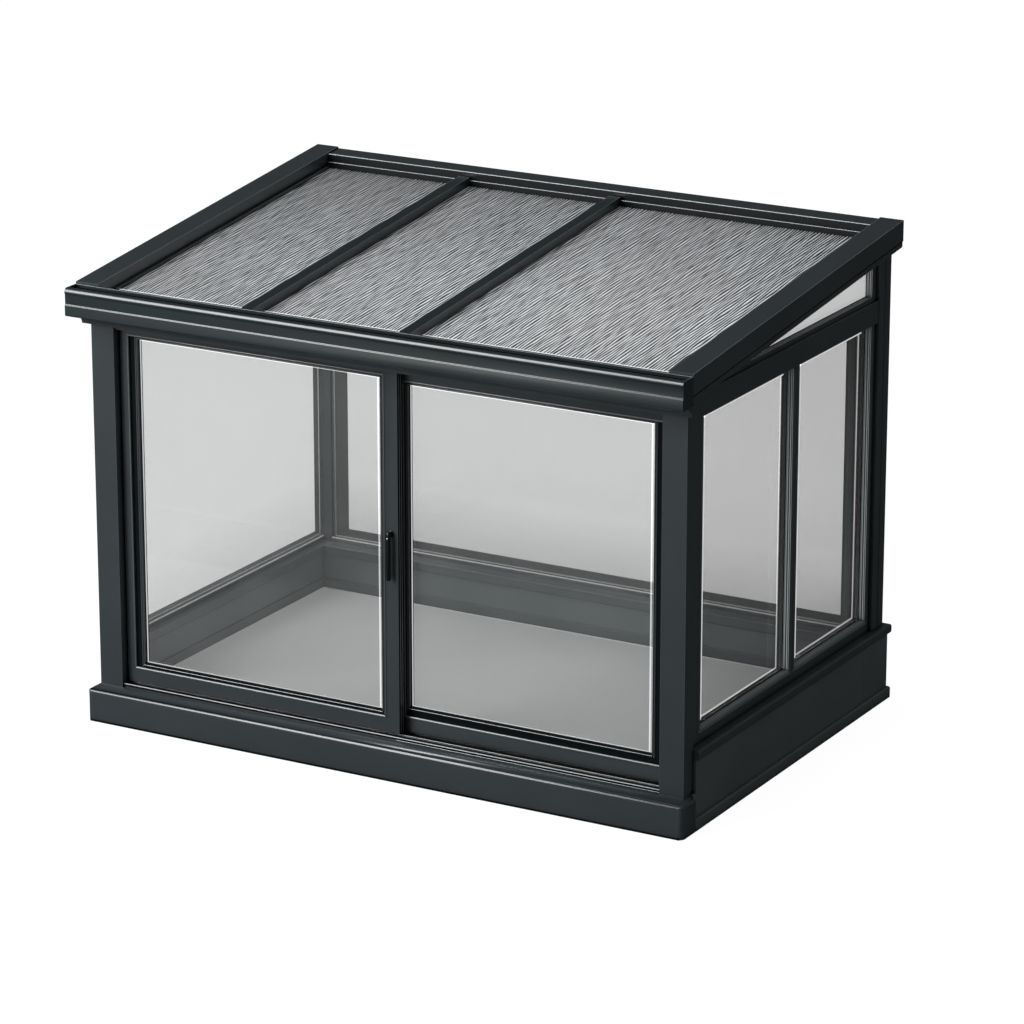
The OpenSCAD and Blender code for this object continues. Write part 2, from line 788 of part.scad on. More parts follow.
// The ridge beam: a flat top, a stepped front and a body down to the rear window's head
module ridge_beam() {
    top_front = roof_rear - ridge_top;
    back = rear_y - transom_recess;
    color(frame_colour) union() {
        sloped_bar(-verge_inner_x, verge_inner_x, top_front, roof_rear,
            ridge_drop, ridge_drop + ridge_face);
        sloped_bar(-verge_inner_x, verge_inner_x, sheet_rear, roof_rear,
            ridge_drop + ridge_face - overlap, sheet_bottom);
        sloped_bar(-inner_x, inner_x, sheet_rear, back, sheet_bottom - overlap, sheet_bottom + overlap);
        slab_x(-grip_x, grip_x, [[rear_frame_front, rear_head], [rear_post_front, rear_head],
            [rear_post_front, roof_z(rear_post_front, sheet_bottom)],
            [rear_frame_front, roof_z(rear_frame_front, sheet_bottom)]]);
        slab_x(-inner_x, inner_x, [[rear_post_front - overlap, rear_head], [back, rear_head],
            [back, roof_z(back, sheet_bottom)],
            [rear_post_front - overlap, roof_z(rear_post_front - overlap, sheet_bottom)]]);
    }
}

module roof_sheet(x0, x1) {
    color(sheet_colour) sloped_bar(x0, x1, sheet_front, sheet_rear,
        sheet_drop + fit_gap, sheet_bottom - fit_gap);
}

// ---- Door leaves ----

// A leaf's frame: outer members, beads set back from its face, and an opening for its glass
// The outline is [left, right, bottom, top]; members and beads are [left, right, bottom, top] widths
module leaf_frame(front, outline, members, beads) {
    inner = [outline[0] + members[0], outline[1] - members[1],
        outline[2] + members[2], outline[3] - members[3]];
    color(frame_colour) difference() {
        block([outline[0], front, outline[2]], [outline[1], front + leaf_depth, outline[3]]);
        block([inner[0], front - overlap, inner[2]], [inner[1], front + bead_recess, inner[3]]);
        block([inner[0] + beads[0], front - overlap, inner[2] + beads[2]],
            [inner[1] - beads[1], front + leaf_depth + overlap, inner[3] - beads[3]]);
    }
}

module leaf_pane(front, outline, members, beads) {
    color(glass_colour) block(
        [outline[0] + members[0] + beads[0], front + leaf_glass_recess,
            outline[2] + members[2] + beads[2]],
        [outline[1] - members[1] - beads[1], front + leaf_glass_recess + leaf_glass,
            outline[3] - members[3] - beads[3]]);
}

sliding_outline = [sliding_left, meeting_edge, leaf_bottom, leaf_top];
sliding_members = [outer_stile, meeting_stile, bottom_rail, sliding_top_rail];
sliding_beads = [outer_bead, inner_bead, sliding_bead, sliding_bead / 2];

fixed_outline = [fixed_left, inner_x, rail_top, fixed_top];
fixed_members = [fixed_meeting_stile, outer_stile, bottom_rail, fixed_top_rail + groove_depth];
fixed_beads = [inner_bead, outer_bead, fixed_bead, sliding_bead / 2];

// Middle of each roller, from left to right
roller_y = sliding_front + leaf_depth / 2;
roller_z = rail_top + roller_gap + roller_radius;
pocket_width = roller_width + 2 * overlap;
roller_xs = [sliding_left + roller_inset, meeting_edge - roller_inset];

module sliding_leaf_frame() {
    pocket = roller_radius + pocket_margin;
    color(frame_colour) difference() {
        leaf_frame(sliding_front, sliding_outline, sliding_members, sliding_beads);
        for (x = roller_xs) block([x - pocket, roller_y - pocket_width / 2, leaf_bottom - overlap],
            [x + pocket, roller_y + pocket_width / 2, roller_z + pocket]);
    }
}

module door_rollers() {
    color(black_colour) for (x = roller_xs) translate([x, roller_y, roller_z]) rotate([90, 0, 0])
        union() {
            cylinder(r = roller_radius, h = roller_width, center = true);
            cylinder(r = axle_radius, h = pocket_width, center = true);
        }
}

// A rose on the stile, a neck, and a bar that hangs down from it
module door_handle() {
    x = meeting_edge - meeting_stile / 2;
    bar_front = sliding_front - handle_gap - handle_thickness;
    top = handle_level + handle_length / 2;
    neck_z = top - handle_width / 2;
    r = handle_width / 2;
    color(black_colour) union() {
        translate([x, sliding_front, neck_z]) rotate([90, 0, 0]) {
            cylinder(r = rose_radius, h = rose_thickness);
            cylinder(r = neck_radius, h = handle_gap + overlap);
        }
        translate([x, bar_front + handle_thickness, 0]) rotate([90, 0, 0])
            linear_extrude(handle_thickness) union() {
                translate([-r, top - handle_length + r]) square([2 * r, handle_length - 2 * r]);
                translate([0, top - r]) circle(r);
                translate([0, top - handle_length + r]) circle(r);
            }
    }
}

front_plinth();
door_track();
floor_deck();
floor_bearers();
left_side() side_dwarf_wall();  // left_dwarf_wall
side_dwarf_wall();  // right_dwarf_wall
rear_dwarf_wall();
left_side() side_sill_cap();  // left_sill_cap
side_sill_cap();  // right_sill_cap
rear_sill_cap();
left_side() front_post();  // front_left_post
front_post();  // front_right_post
left_side() rear_post();  // rear_left_post
rear_post();  // rear_right_post
left_side() side_window_frame(low_rail, false);  // left_window_frame
side_window_frame(right_rail, true);  // right_window_frame
rear_window_frame();
left_pane();
right_panes();
rear_pane();
left_side() side_transom();  // left_transom
side_transom();  // right_transom
rear_transom();
left_side() side_top_light();  // left_top_light
side_top_light();  // right_top_light
rear_top_light();
door_header();
bed_mould();
gutter();
eaves_rail();
left_side() verge();  // left_verge
verge();  // right_verge
glazing_bar(left_bar_x);  // left_glazing_bar
glazing_bar(right_bar_x);  // right_glazing_bar
ridge_beam();
roof_sheet(-verge_inner_x, left_bar_x - bar_web / 2);  // left_roof_sheet
roof_sheet(left_bar_x + bar_web / 2, right_bar_x - bar_web / 2);  // middle_roof_sheet
roof_sheet(right_bar_x + bar_web / 2, verge_inner_x);  // right_roof_sheet
leaf_frame(fixed_front, fixed_outline, fixed_members, fixed_beads);  // fixed_leaf_frame
leaf_pane(fixed_front, fixed_outline, fixed_members, fixed_beads);  // fixed_leaf_glass
sliding_leaf_frame();
leaf_pane(sliding_front, sliding_outline, sliding_members, sliding_beads);  // sliding_leaf_glass
door_handle();
door_rollers();
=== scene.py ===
# %% [markdown]
# # A lean-to conservatory, dressed in Blender
# The frame of this little glass room comes from CAD, already at its real size in metres.
# Here it gets what makes it look real: eased edges on the aluminium, glass units with their
# rubber gaskets, reeded roof sheets, a pull handle, seals, finishes, light and a camera.
# Everything is placed from the CAD frame itself, so nothing has to be fitted by hand.

# %% Load the frame
import json
import math
import random

import bmesh
import bpy
import numpy as np
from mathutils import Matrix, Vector

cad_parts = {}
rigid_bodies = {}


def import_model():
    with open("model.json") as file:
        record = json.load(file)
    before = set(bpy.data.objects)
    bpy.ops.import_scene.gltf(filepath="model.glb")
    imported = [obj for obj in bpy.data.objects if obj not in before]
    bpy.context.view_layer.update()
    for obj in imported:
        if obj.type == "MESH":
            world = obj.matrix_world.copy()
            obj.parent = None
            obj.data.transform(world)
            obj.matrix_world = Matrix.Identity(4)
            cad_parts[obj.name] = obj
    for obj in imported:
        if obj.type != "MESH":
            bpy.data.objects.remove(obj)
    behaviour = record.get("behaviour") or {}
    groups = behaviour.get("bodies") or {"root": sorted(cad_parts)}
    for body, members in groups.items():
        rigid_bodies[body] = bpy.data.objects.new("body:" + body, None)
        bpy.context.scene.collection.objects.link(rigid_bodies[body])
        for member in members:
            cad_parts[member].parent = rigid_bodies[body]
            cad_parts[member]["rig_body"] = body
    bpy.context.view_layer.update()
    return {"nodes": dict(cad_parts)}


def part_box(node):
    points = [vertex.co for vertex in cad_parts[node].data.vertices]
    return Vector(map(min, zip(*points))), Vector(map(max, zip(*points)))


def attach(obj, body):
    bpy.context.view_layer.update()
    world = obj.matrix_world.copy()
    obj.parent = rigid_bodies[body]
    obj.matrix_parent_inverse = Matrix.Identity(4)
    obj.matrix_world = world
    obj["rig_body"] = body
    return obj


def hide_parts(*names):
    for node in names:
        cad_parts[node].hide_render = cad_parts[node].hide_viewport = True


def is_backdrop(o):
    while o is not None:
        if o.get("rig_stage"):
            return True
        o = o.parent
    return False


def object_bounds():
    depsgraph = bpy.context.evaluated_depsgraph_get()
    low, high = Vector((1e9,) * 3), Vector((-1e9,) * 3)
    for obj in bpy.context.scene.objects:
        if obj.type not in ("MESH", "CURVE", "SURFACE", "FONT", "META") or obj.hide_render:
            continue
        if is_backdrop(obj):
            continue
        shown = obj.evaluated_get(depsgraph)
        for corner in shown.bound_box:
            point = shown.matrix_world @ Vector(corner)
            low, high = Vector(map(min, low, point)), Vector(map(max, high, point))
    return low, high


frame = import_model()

MM = 0.001
nodes = frame["nodes"]

# %% [markdown]
# ## Colour and node helpers
# A colour is easiest to write as the hex value that a paint chart gives, but Blender's
# shaders work in linear light, so one function turns one into the other. A second small
# function adds a node, sets it up and links it, which keeps each material short to read.
# Most real finishes are a little uneven, so a third gives fine grains between two colours.

# %% Colour and node helpers
def linear(hex_colour):
    """The linear RGBA of an sRGB hex colour such as "383e42"."""
    values = [int(hex_colour[i:i + 2], 16) / 255 for i in (0, 2, 4)]
    return tuple(v / 12.92 if v <= 0.04045 else ((v + 0.055) / 1.055) ** 2.4
                 for v in values) + (1.0,)


def node(tree, kind, inputs=None, **settings):
    """Adds a node. Each input is a value, a socket, or a node whose output it takes."""
    made = tree.nodes.new("ShaderNode" + kind)
    for name, value in settings.items():
        setattr(made, name, value)
    for key, value in (inputs or {}).items():
        if isinstance(value, bpy.types.Node):
            value = next(output for output in value.outputs if output.enabled)
        if isinstance(value, bpy.types.NodeSocket):
            tree.links.new(value, made.inputs[key])
        else:
            made.inputs[key].default_value = value
    return made


def new_finish(name):
    """An empty material, its node tree and the place on the object, in metres."""
    material = bpy.data.materials.new(name)
    material.use_nodes = True
    tree = material.node_tree
    tree.nodes.clear()
    return material, tree, node(tree, "TexCoord").outputs["Object"]


def finished(material, shader):
    """Links the last shader to the surface and gives the material back."""
    node(material.node_tree, "OutputMaterial", {"Surface": shader})
    return material


def grains(tree, place, size, detail, dark, pale):
    """Grains of a real size: the noise itself, and its tone between two colours."""
    noise = node(tree, "TexNoise", {"Vector": place, "Scale": 1 / size, "Detail": detail})
    tone = node(tree, "Mix", {0: noise, 6: linear(dark), 7: linear(pale)}, data_type="RGBA")
    return noise, tone


print("383e42 in linear light:", [round(v, 4) for v in linear("383e42")[:3]])

# %% [markdown]
# ## Powder-coated aluminium
# The profiles are extruded aluminium. A dry polyester powder is sprayed on and baked, and
# it flows into a hard satin skin with a faint orange peel about a millimetre across. Light
# and shade are also painted into its colour. The ambient occlusion node finds both kinds of
# edge: looking into the solid it finds outer edges, which get a painted highlight, and
# looking out of it the inner corners, which get painted shade. A second, shorter look
# outwards finds the joints between profiles and paints them nearly black, also painted
# shade. The painted highlight is strongest on edges that face upwards, towards the key
# light. Paler copies of the coat paint light on beads, nosings, running edges, walls and
# reveals, and darker copies paint shade on the track, the roof profiles and the ridge
# strips.

# %% Powder-coated aluminium
def powder_coat(name, coat, edge, corner, edge_reach=6.0, shine=0.65):
    """Colours of the coat, of the painted highlight on its outer edges and of the painted
    shade in its corners. edge_reach is in mm.
    """
    material, tree, place = new_finish(name)
    outer = node(tree, "AmbientOcclusion", {
        "Distance": edge_reach * MM}, inside=True, only_local=True, samples=6)
    inner = node(tree, "AmbientOcclusion", {"Distance": 45 * MM}, samples=6)
    joint = node(tree, "AmbientOcclusion", {"Distance": 12 * MM}, samples=4)
    cloud = node(tree, "TexNoise", {"Vector": place, "Scale": 1 / (450 * MM), "Detail": 3})
    # Painted highlight: outer edges take the paler edge colour
    edge_highlight = node(tree, "MapRange", {
        "Value": outer.outputs["AO"], "From Min": 0.78, "From Max": 0.45})
    upward = node(tree, "SeparateXYZ", {0: node(tree, "NewGeometry").outputs["Normal"]})
    # The painted highlight is strongest on edges that face upwards, towards the key light
    painted_light = node(tree, "MapRange", {
        "Value": upward.outputs["Z"], "From Min": 0.1, "From Max": 0.4, "To Min": 0.15,
        "To Max": 1.0})
    edge_highlight = node(tree, "Math", {0: edge_highlight, 1: painted_light}, operation="MULTIPLY")
    # Painted shade: inner corners take the corner colour, and joints a near-black one
    shade = node(tree, "MapRange", {
        "Value": inner.outputs["AO"], "From Min": 0.8, "From Max": 0.3})
    gap = node(tree, "MapRange", {
        "Value": joint.outputs["AO"], "From Min": 0.8, "From Max": 0.45})
    tone = node(tree, "MapRange", {
        "Value": cloud, "From Min": 0.3, "From Max": 0.7, "To Min": 0.92, "To Max": 1.08})
    colour = linear(coat)
    for share, other in ((edge_highlight, edge), (shade, corner), (gap, "030404")):
        colour = node(tree, "Mix", {
            0: share, 6: colour, 7: linear(other)}, data_type="RGBA")
    toned = node(tree, "Mix", {
        0: 1.0, 6: colour, 7: tone}, data_type="RGBA", blend_type="MULTIPLY")
    # Orange peel is 1 to 2 mm across; it is drawn 5 mm across so that it shows at all
    peel = node(tree, "TexNoise", {"Vector": place, "Scale": 1 / (5 * MM), "Detail": 2})
    bump = node(tree, "Bump", {"Height": peel, "Strength": 0.04, "Distance": 0.4 * MM})
    # A matt body under a thin hard skin, which is what carries the satin highlights
    return finished(material, node(tree, "BsdfPrincipled", {
        "Base Color": toned, "Roughness": 0.7, "Specular IOR Level": 0.0,
        "Coat Weight": shine, "Coat Roughness": 0.28, "Coat IOR": 2.2, "Normal": bump,
        "Coat Normal": bump}))


FRAME_COAT = powder_coat("satin_anthracite_powder_coat", "31383b", "8d9598", "0a0d0e")
# A paler copy of the frame coat: painted light that lifts the dwarf walls and the interlock
# fins out of their shade
PANEL_COAT = powder_coat("anthracite_panel_coat_painted_light", "464e50", "8d9598", "0a0d0e")
# A darker copy of the frame coat: painted shade on the gutter and the glazing bars
ROOF_COAT = powder_coat("anthracite_roof_coat_painted_shade", "1f292c", "788184", "0a0d0e")
# A darker copy of the frame coat: painted shade for the track, which lies under the leaves
TRACK_COAT = powder_coat("anthracite_track_coat_painted_shade", "15191b", "6d7679", "050707", 2.0)
# A pale coat for the track's running edges: worn bare, and also a painted highlight
RUNNING_COAT = powder_coat("running_edge_wear_and_painted_highlight", "99a2a5", "c3c9cb", "3a4042", 2.0)
# A paler coat for the nosings: a painted highlight
NOSING_COAT = powder_coat("nosing_coat_painted_highlight", "565f62", "7f888b", "1b2022", 2.0)
# A paler coat for the ridge beads: a painted highlight
BEAD_COAT = powder_coat("bead_coat_painted_highlight", "7c8588", "b4bbbe", "2b3032", 2.0)
# A very pale coat for the jamb linings: painted light in the jamb's shade
REVEAL_COAT = powder_coat("reveal_coat_painted_light", "c3c9ca", "d8dcdc", "8a9092", 2.0)
# A near-black coat for the strips on the ridge's faces: painted shade
RIDGE_SHADE_COAT = powder_coat("ridge_coat_painted_shade", "0e1315", "343b3d", "050607", 2.0, 0.25)
HANDLE_COAT = powder_coat("black_handle_coat", "07090a", "141819", "030404", 4.0, 0.4)
print("coats:", FRAME_COAT.name, "and nine more for panels, roof, track, beads and handle")

# %% [markdown]
# ## Glass
# The panes are clear float glass, made flat by floating molten glass on tin. Clear glass
# lets most light straight through and mirrors a little more as it is seen more aslant. A
# transparent shader with a faint grey tint does the first, and a glossy one the second,
# mixed by Schlick's rule. Nothing bends at all in so thin a pane, so a refraction shader
# would only add noise. A thin film of dust veils every pane. The tint of the fixed windows
# is painted darker at the foot and lighter upwards, a painted reflection of the ground. The
# small top lights are of satin-etched glass, which hides what is behind it, and an emission
# gives them a painted glow. The edges of the panes carry a painted glow as well, an
# emission that adds a weak light to what shows through.

# %% Glass
TINT_TOP = 2.2  # metres: the height at which the list of tints ends


def float_glass(name, tints, dust=0.03):
    """tints is a list of (height in metres, tint of one face); dust is a share."""
    material, tree, place = new_finish(name)
    up = node(tree, "SeparateXYZ", {0: place}).outputs["Z"]
    height = node(tree, "Math", {0: up, 1: TINT_TOP}, operation="DIVIDE")
    tint = node(tree, "ValToRGB", {0: height})
    ramp = tint.color_ramp.elements
    ramp.remove(ramp[1])
    ramp[0].position, ramp[0].color = tints[0][0] / TINT_TOP, linear(tints[0][1])
    for level, colour in tints[1:]:
        ramp.new(level / TINT_TOP).color = linear(colour)
    clear = node(tree, "BsdfTransparent", {"Color": tint})
    speck = node(tree, "TexNoise", {"Vector": place, "Scale": 1 / (300 * MM), "Detail": 4})
    film = node(tree, "MapRange", {
        "Value": speck, "From Min": 0.3, "From Max": 0.7, "To Min": dust * 0.8,
        "To Max": dust * 1.2})
    veil = node(tree, "BsdfDiffuse", {"Color": linear("f0f1f1")})
    dusty = node(tree, "MixShader", {0: film, 1: clear, 2: veil})
    mirror = node(tree, "BsdfGlossy", {"Color": linear("ffffff"), "Roughness": 0.03})
    # Schlick's rule: 3% is mirrored head on, and more and more towards grazing
    aslant = node(tree, "LayerWeight", {"Blend": 0.5}).outputs["Facing"]
    grazing = node(tree, "Math", {0: aslant, 1: 5.0}, operation="POWER")
    share = node(tree, "MapRange", {"Value": grazing, "To Min": 0.03, "To Max": 1.0})
    return finished(material, node(tree, "MixShader", {0: share, 1: dusty, 2: mirror}))


def satin_glass():
    """Acid-etched glass for the top lights: it hides what is behind, and an emission paints
    a soft glow on it.
    """
    material, tree, place = new_finish("satin_etched_glass")
    tone = grains(tree, place, 250 * MM, 3, "dcdedd", "eef0ef")[1]
    return finished(material, node(tree, "BsdfPrincipled", {
        "Base Color": tone, "Roughness": 0.5, "Emission Color": linear("ffffff"),
        "Emission Strength": 0.3, "Alpha": 0.9}))


def painted_edge_glow():
    """The edge of a pane: an emission paints a weak glow over what is behind it."""
    material, tree, place = new_finish("glass_edge_painted_glow")
    chips = node(tree, "TexNoise", {"Vector": place, "Scale": 1 / (5 * MM), "Detail": 2})
    glow = node(tree, "MapRange", {"Value": chips, "To Min": 0.24, "To Max": 0.36})
    light = node(tree, "Emission", {"Color": linear("ffffff"), "Strength": glow})
    clear = node(tree, "BsdfTransparent", {"Color": linear("ffffff")})
    return finished(material, node(tree, "AddShader", {0: light, 1: clear}))


DOOR_GLASS = float_glass("clear_float_glass", [(1.0, "f5f6f6")])
# The fixed windows' tints are darker at the foot: a painted reflection of the ground
WINDOW_GLASS = float_glass("float_glass_painted_dark_low", [(0.45, "ebebeb"), (0.75, "f4f4f4"),
                                                    (1.15, "f5f5f5"), (2.0, "f4f4f4")])
GREY_GLASS = float_glass("grey_float_glass_painted_dark_low", [
    (0.45, "dcdcdc"), (0.75, "ececec"), (1.15, "efefef"), (2.0, "eeeeee")])
SATIN_GLASS, EDGE_GLOW = satin_glass(), painted_edge_glow()
print("glass:", DOOR_GLASS.name, WINDOW_GLASS.name, GREY_GLASS.name, SATIN_GLASS.name)

# %% [markdown]
# ## Rubber, spacer bar and strips
# Round each unit runs a gasket of black EPDM rubber, extruded and then cured, which leaves
# a dull, slightly grainy skin. The spacer that holds a unit's two leaves apart is a plastic
# bar: a white one in front carries a painted glow, an emission that keeps it bright even in
# shade, and those seen through the room are a dull grey with no glow. The strip under the
# distant panes is the same plastic, greyer still.

# %% Rubber, spacer bar and strips
def rubber():
    material, tree, place = new_finish("black_epdm_rubber")
    grain, tone = grains(tree, place, 3 * MM, 3, "060a0c", "0e1416")
    bump = node(tree, "Bump", {"Height": grain, "Strength": 0.2, "Distance": 0.3 * MM})
    return finished(material, node(tree, "BsdfPrincipled", {
        "Base Color": tone, "Roughness": 0.75, "Specular IOR Level": 0.08, "Normal": bump}))


def spacer(name, colour, glow):
    """A plastic bar; glow is a painted glow, an emission that keeps it bright even in
    shade.
    """
    material, tree, place = new_finish(name)
    tone = grains(tree, place, 4 * MM, 2, colour, "ffffff")[1]
    return finished(material, node(tree, "BsdfPrincipled", {
        "Base Color": tone, "Roughness": 0.5, "Emission Color": linear("ffffff"),
        "Emission Strength": glow}))


RUBBER = rubber()
# The white plastic's glow is painted light, an emission
SPACER = spacer("white_spacer_painted_glow", "e4e6e6", 0.4)
DULL_SPACER = spacer("grey_warm_edge_spacer", "6d7071", 0.0)
SILL_STRIP = spacer("pale_grey_sill_strip", "5e6465", 0.0)
print("strips:", [m.name for m in (RUBBER, SPACER, DULL_SPACER, SILL_STRIP)])

# %% [markdown]
# ## Roof sheet
# The roof is opal polycarbonate, extruded with fine uneven reeds that run down the slope.
# It scatters the light: most of it comes back from its top and some glows through it, so a
# diffuse and a translucent shader are mixed. The reeds themselves are modelled; the finish
# paints a highlight on their crests and shade in their grooves, and adds finer lines
# between them. It paints shade under the ridge and beside the profiles, and makes the
# sheets darker towards the left. The crests also get a painted glow, an emission.

# %% Roof sheet
def roof_finish():
    material, tree, place = new_finish("reeded_opal_polycarbonate")
    # The height of each reed comes with the mesh: crests get a painted highlight, grooves
    # painted shade
    reed = node(tree, "Attribute", attribute_name="reed_height").outputs["Fac"]
    # Faint lines about 8 mm apart across the sheet and 110 mm long down the slope
    across = node(tree, "Mapping", {
        "Vector": place, "Scale": (1 / (8 * MM), 1 / (110 * MM), 1.0)})
    streak = node(tree, "TexNoise", {
        "Vector": across, "Scale": 1.0, "Detail": 1, "Roughness": 0.5})
    level = node(tree, "MapRange", {
        "Value": streak, "From Min": 0.3, "From Max": 0.7, "To Min": -0.13, "To Max": 0.13})
    level = node(tree, "Math", {0: level, 1: reed}, operation="ADD")
    tone = node(tree, "ValToRGB", {0: level})
    groove, top = tone.color_ramp.elements
    groove.position, groove.color = 0.22, linear("0e1215")
    top.position, top.color = 0.44, linear("f8fcff")
    # Painted shade under the ridge and in the corners beside the profiles, and darker
    # towards the left
    where = node(tree, "SeparateXYZ", {0: place})
    ridge = node(tree, "MapRange", {
        "Value": where.outputs["Y"], "From Min": -0.3, "From Max": 1.0, "To Min": 1.0,
        "To Max": 0.66})
    left = node(tree, "MapRange", {
        "Value": where.outputs["X"], "From Min": -1.6, "From Max": 0.4, "To Min": 0.7,
        "To Max": 1.0})
    corner = node(tree, "AmbientOcclusion", {"Distance": 90 * MM}, samples=6)
    profile_shade = node(tree, "MapRange", {
        "Value": corner.outputs["AO"], "From Min": 0.5, "From Max": 0.95, "To Min": 0.5,
        "To Max": 1.0})
    shade_and_left_fade = node(tree, "Math", {0: ridge, 1: left}, operation="MULTIPLY")
    shade_and_left_fade = node(tree, "Math", {0: shade_and_left_fade, 1: profile_shade}, operation="MULTIPLY")
    painted_light = node(tree, "Mix", {
        0: 1.0, 6: tone, 7: shade_and_left_fade}, data_type="RGBA", blend_type="MULTIPLY")
    bump = node(tree, "Bump", {"Height": streak, "Strength": 0.7, "Distance": 2 * MM})
    back = node(tree, "BsdfDiffuse", {"Color": painted_light, "Normal": bump})
    through = node(tree, "BsdfTranslucent", {"Color": linear("ecf1f6")})
    mixed = node(tree, "MixShader", {0: 0.18, 1: back, 2: through})
    # The crests get a painted glow: an emission that stands for light coming up through the
    # sheet
    crest = node(tree, "MapRange", {
        "Value": level, "From Min": 0.45, "From Max": 0.9, "To Min": 0.0, "To Max": 0.36})
    crest = node(tree, "Math", {0: crest, 1: shade_and_left_fade}, operation="MULTIPLY")
    glow = node(tree, "Emission", {"Color": linear("f1f6fa"), "Strength": crest})
    return finished(material, node(tree, "AddShader", {0: mixed, 1: glow}))


SHEET = roof_finish()
print("roof:", SHEET.name, len(SHEET.node_tree.nodes), "nodes")

# %% [markdown]
# ## Floor, rollers and steel
# The floor is a levelled grey screed, nearly even with soft clouds in it, with painted
# light that makes it paler towards the left wall, where the room's own shade falls. The
# door's rollers are moulded black nylon, slightly shiny where they run. The handle's fixing
# screw is hidden by a turned steel cap, polished on a wheel.

# %% Floor, rollers and steel
def screed():
    material, tree, place = new_finish("levelled_grey_screed")
    tone = grains(tree, place, 600 * MM, 4, "a7a8a7", "aeafae")[1]
    across = node(tree, "SeparateXYZ", {0: place}).outputs["X"]
    # Painted light: paler towards the left wall, where the room's own shade falls
    painted_left_light = node(tree, "MapRange", {
        "Value": across, "From Min": -1.45, "From Max": -0.35, "To Min": 1.22,
        "To Max": 1.0})
    lightened_tone = node(tree, "Mix", {
        0: 1.0, 6: tone, 7: painted_left_light}, data_type="RGBA", blend_type="MULTIPLY")
    grit = node(tree, "TexNoise", {"Vector": place, "Scale": 1 / (6 * MM), "Detail": 2})
    bump = node(tree, "Bump", {"Height": grit, "Strength": 0.15, "Distance": 0.5 * MM})
    return finished(material, node(tree, "BsdfPrincipled", {
        "Base Color": lightened_tone, "Roughness": 0.7, "Specular IOR Level": 0.2, "Normal": bump}))


def nylon():
    material, tree, place = new_finish("moulded_black_nylon")
    tone = grains(tree, place, 2 * MM, 2, "0e0f10", "1d1f20")[1]
    return finished(material, node(tree, "BsdfPrincipled", {
        "Base Color": tone, "Roughness": 0.4}))


def polished_steel():
    material, tree, place = new_finish("polished_steel_cap")
    turned = node(tree, "TexNoise", {"Vector": place, "Scale": 1 / (1 * MM), "Detail": 2})
    rough = node(tree, "MapRange", {"Value": turned, "To Min": 0.22, "To Max": 0.34})
    return finished(material, node(tree, "BsdfPrincipled", {
        "Base Color": linear("d9dcdd"), "Metallic": 1.0, "Roughness": rough}))


SCREED, NYLON, STEEL = screed(), nylon(), polished_steel()
print("finishes:", SCREED.name, NYLON.name, STEEL.name)

# %% [markdown]
# ## Making a piece
# Every new piece is a mesh from a list of points and faces. It gets a finish and rides on a
# CAD body, so that it moves with the door or stays with the building. Nearly all profiles
# here are rings of points joined by faces: a rod, a plate and a domed shape are closed at
# their ends, and a moulding that runs round a pane closes on itself.

# %% Making a piece
EDGE_ANGLE = math.radians(40)  # edges sharper than this stay crisp


def add_object(name, data):
    """An object for a mesh, a lamp or a camera, put into the scene."""
    made = bpy.data.objects.new(name, data)
    bpy.context.scene.collection.objects.link(made)
    return made


def welded(mesh, distance=0.01 * MM):
    """An editable copy of a mesh with its doubled points joined."""
    work = bmesh.new()
    work.from_mesh(mesh)
    bmesh.ops.remove_doubles(work, verts=work.verts, dist=distance)
    return work


def dressed(name, mesh, finish, body, smooth=True):
    """A mesh as a piece with a finish, on a CAD body and in a material slot."""
    mesh.materials.clear()
    mesh.materials.append(finish)
    if smooth:
        mesh.shade_smooth()
        mesh.set_sharp_from_angle(angle=EDGE_ANGLE)
    piece = add_object(name, mesh)
    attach(piece, body)
    return piece


def joined(shapes):
    """Several shapes, each a list of points and one of faces, as one."""
    points, faces = [], []
    for more_points, more_faces in shapes:
        faces += [[len(points) + i for i in face] for face in more_faces]
        points += list(more_points)
    return points, faces


def make_piece(name, shapes, finish, body="building", smooth=False):
    """A piece from a list of shapes."""
    points, faces = joined(shapes)
    mesh = bpy.data.meshes.new(name)
    mesh.from_pydata([tuple(p) for p in points], [], faces)
    work = welded(mesh, 0.001 * MM)
    bmesh.ops.recalc_face_normals(work, faces=work.faces)
    work.to_mesh(mesh)
    work.free()
    return dressed(name, mesh, finish, body, smooth)


def ring_faces(sides, steps, closed=False):
    """Faces between rings of points; closed also joins the last ring to the first."""
    return [[j * sides + i, j * sides + (i + 1) % sides,
             (j + 1) % steps * sides + (i + 1) % sides, (j + 1) % steps * sides + i]
            for j in range(steps if closed else steps - 1) for i in range(sides)]


def lofted(rings):
    """A solid through rings of as many points each, closed at both ends."""
    sides, points = len(rings[0]), [p for ring in rings for p in ring]
    ends = [list(range(sides)), list(range(len(points) - sides, len(points)))]
    return points, ring_faces(sides, len(rings)) + ends


def inset(outline, distance):
    """A convex outline, counter-clockwise, with every side moved in by a distance."""
    count, moved = len(outline), []
    for i in range(count):
        before, here, after = (np.array(outline[(i + k) % count], float)
                               for k in (-1, 0, 1))
        a, b = here - before, after - here
        a, b = a / np.linalg.norm(a), b / np.linalg.norm(b)
        normal_a, normal_b = np.array([-a[1], a[0]]), np.array([-b[1], b[0]])
        moved.append(here + (normal_a + normal_b) * distance / (1 + normal_a @ normal_b))
    return moved


def swept_ring(outline, section, place):
    """A mitred moulding round an outline. section is a closed list of (inset, depth)."""
    points = [place(*p, depth) for move, depth in section for p in inset(outline, move)]
    return points, ring_faces(len(outline), len(section), closed=True)


def hill(outline, levels, place):
    """A closed solid from outlines inset by steps. levels is a list of (inset, depth)."""
    return lofted([[place(*p, depth) for p in inset(outline, move)]
                   for move, depth in levels])


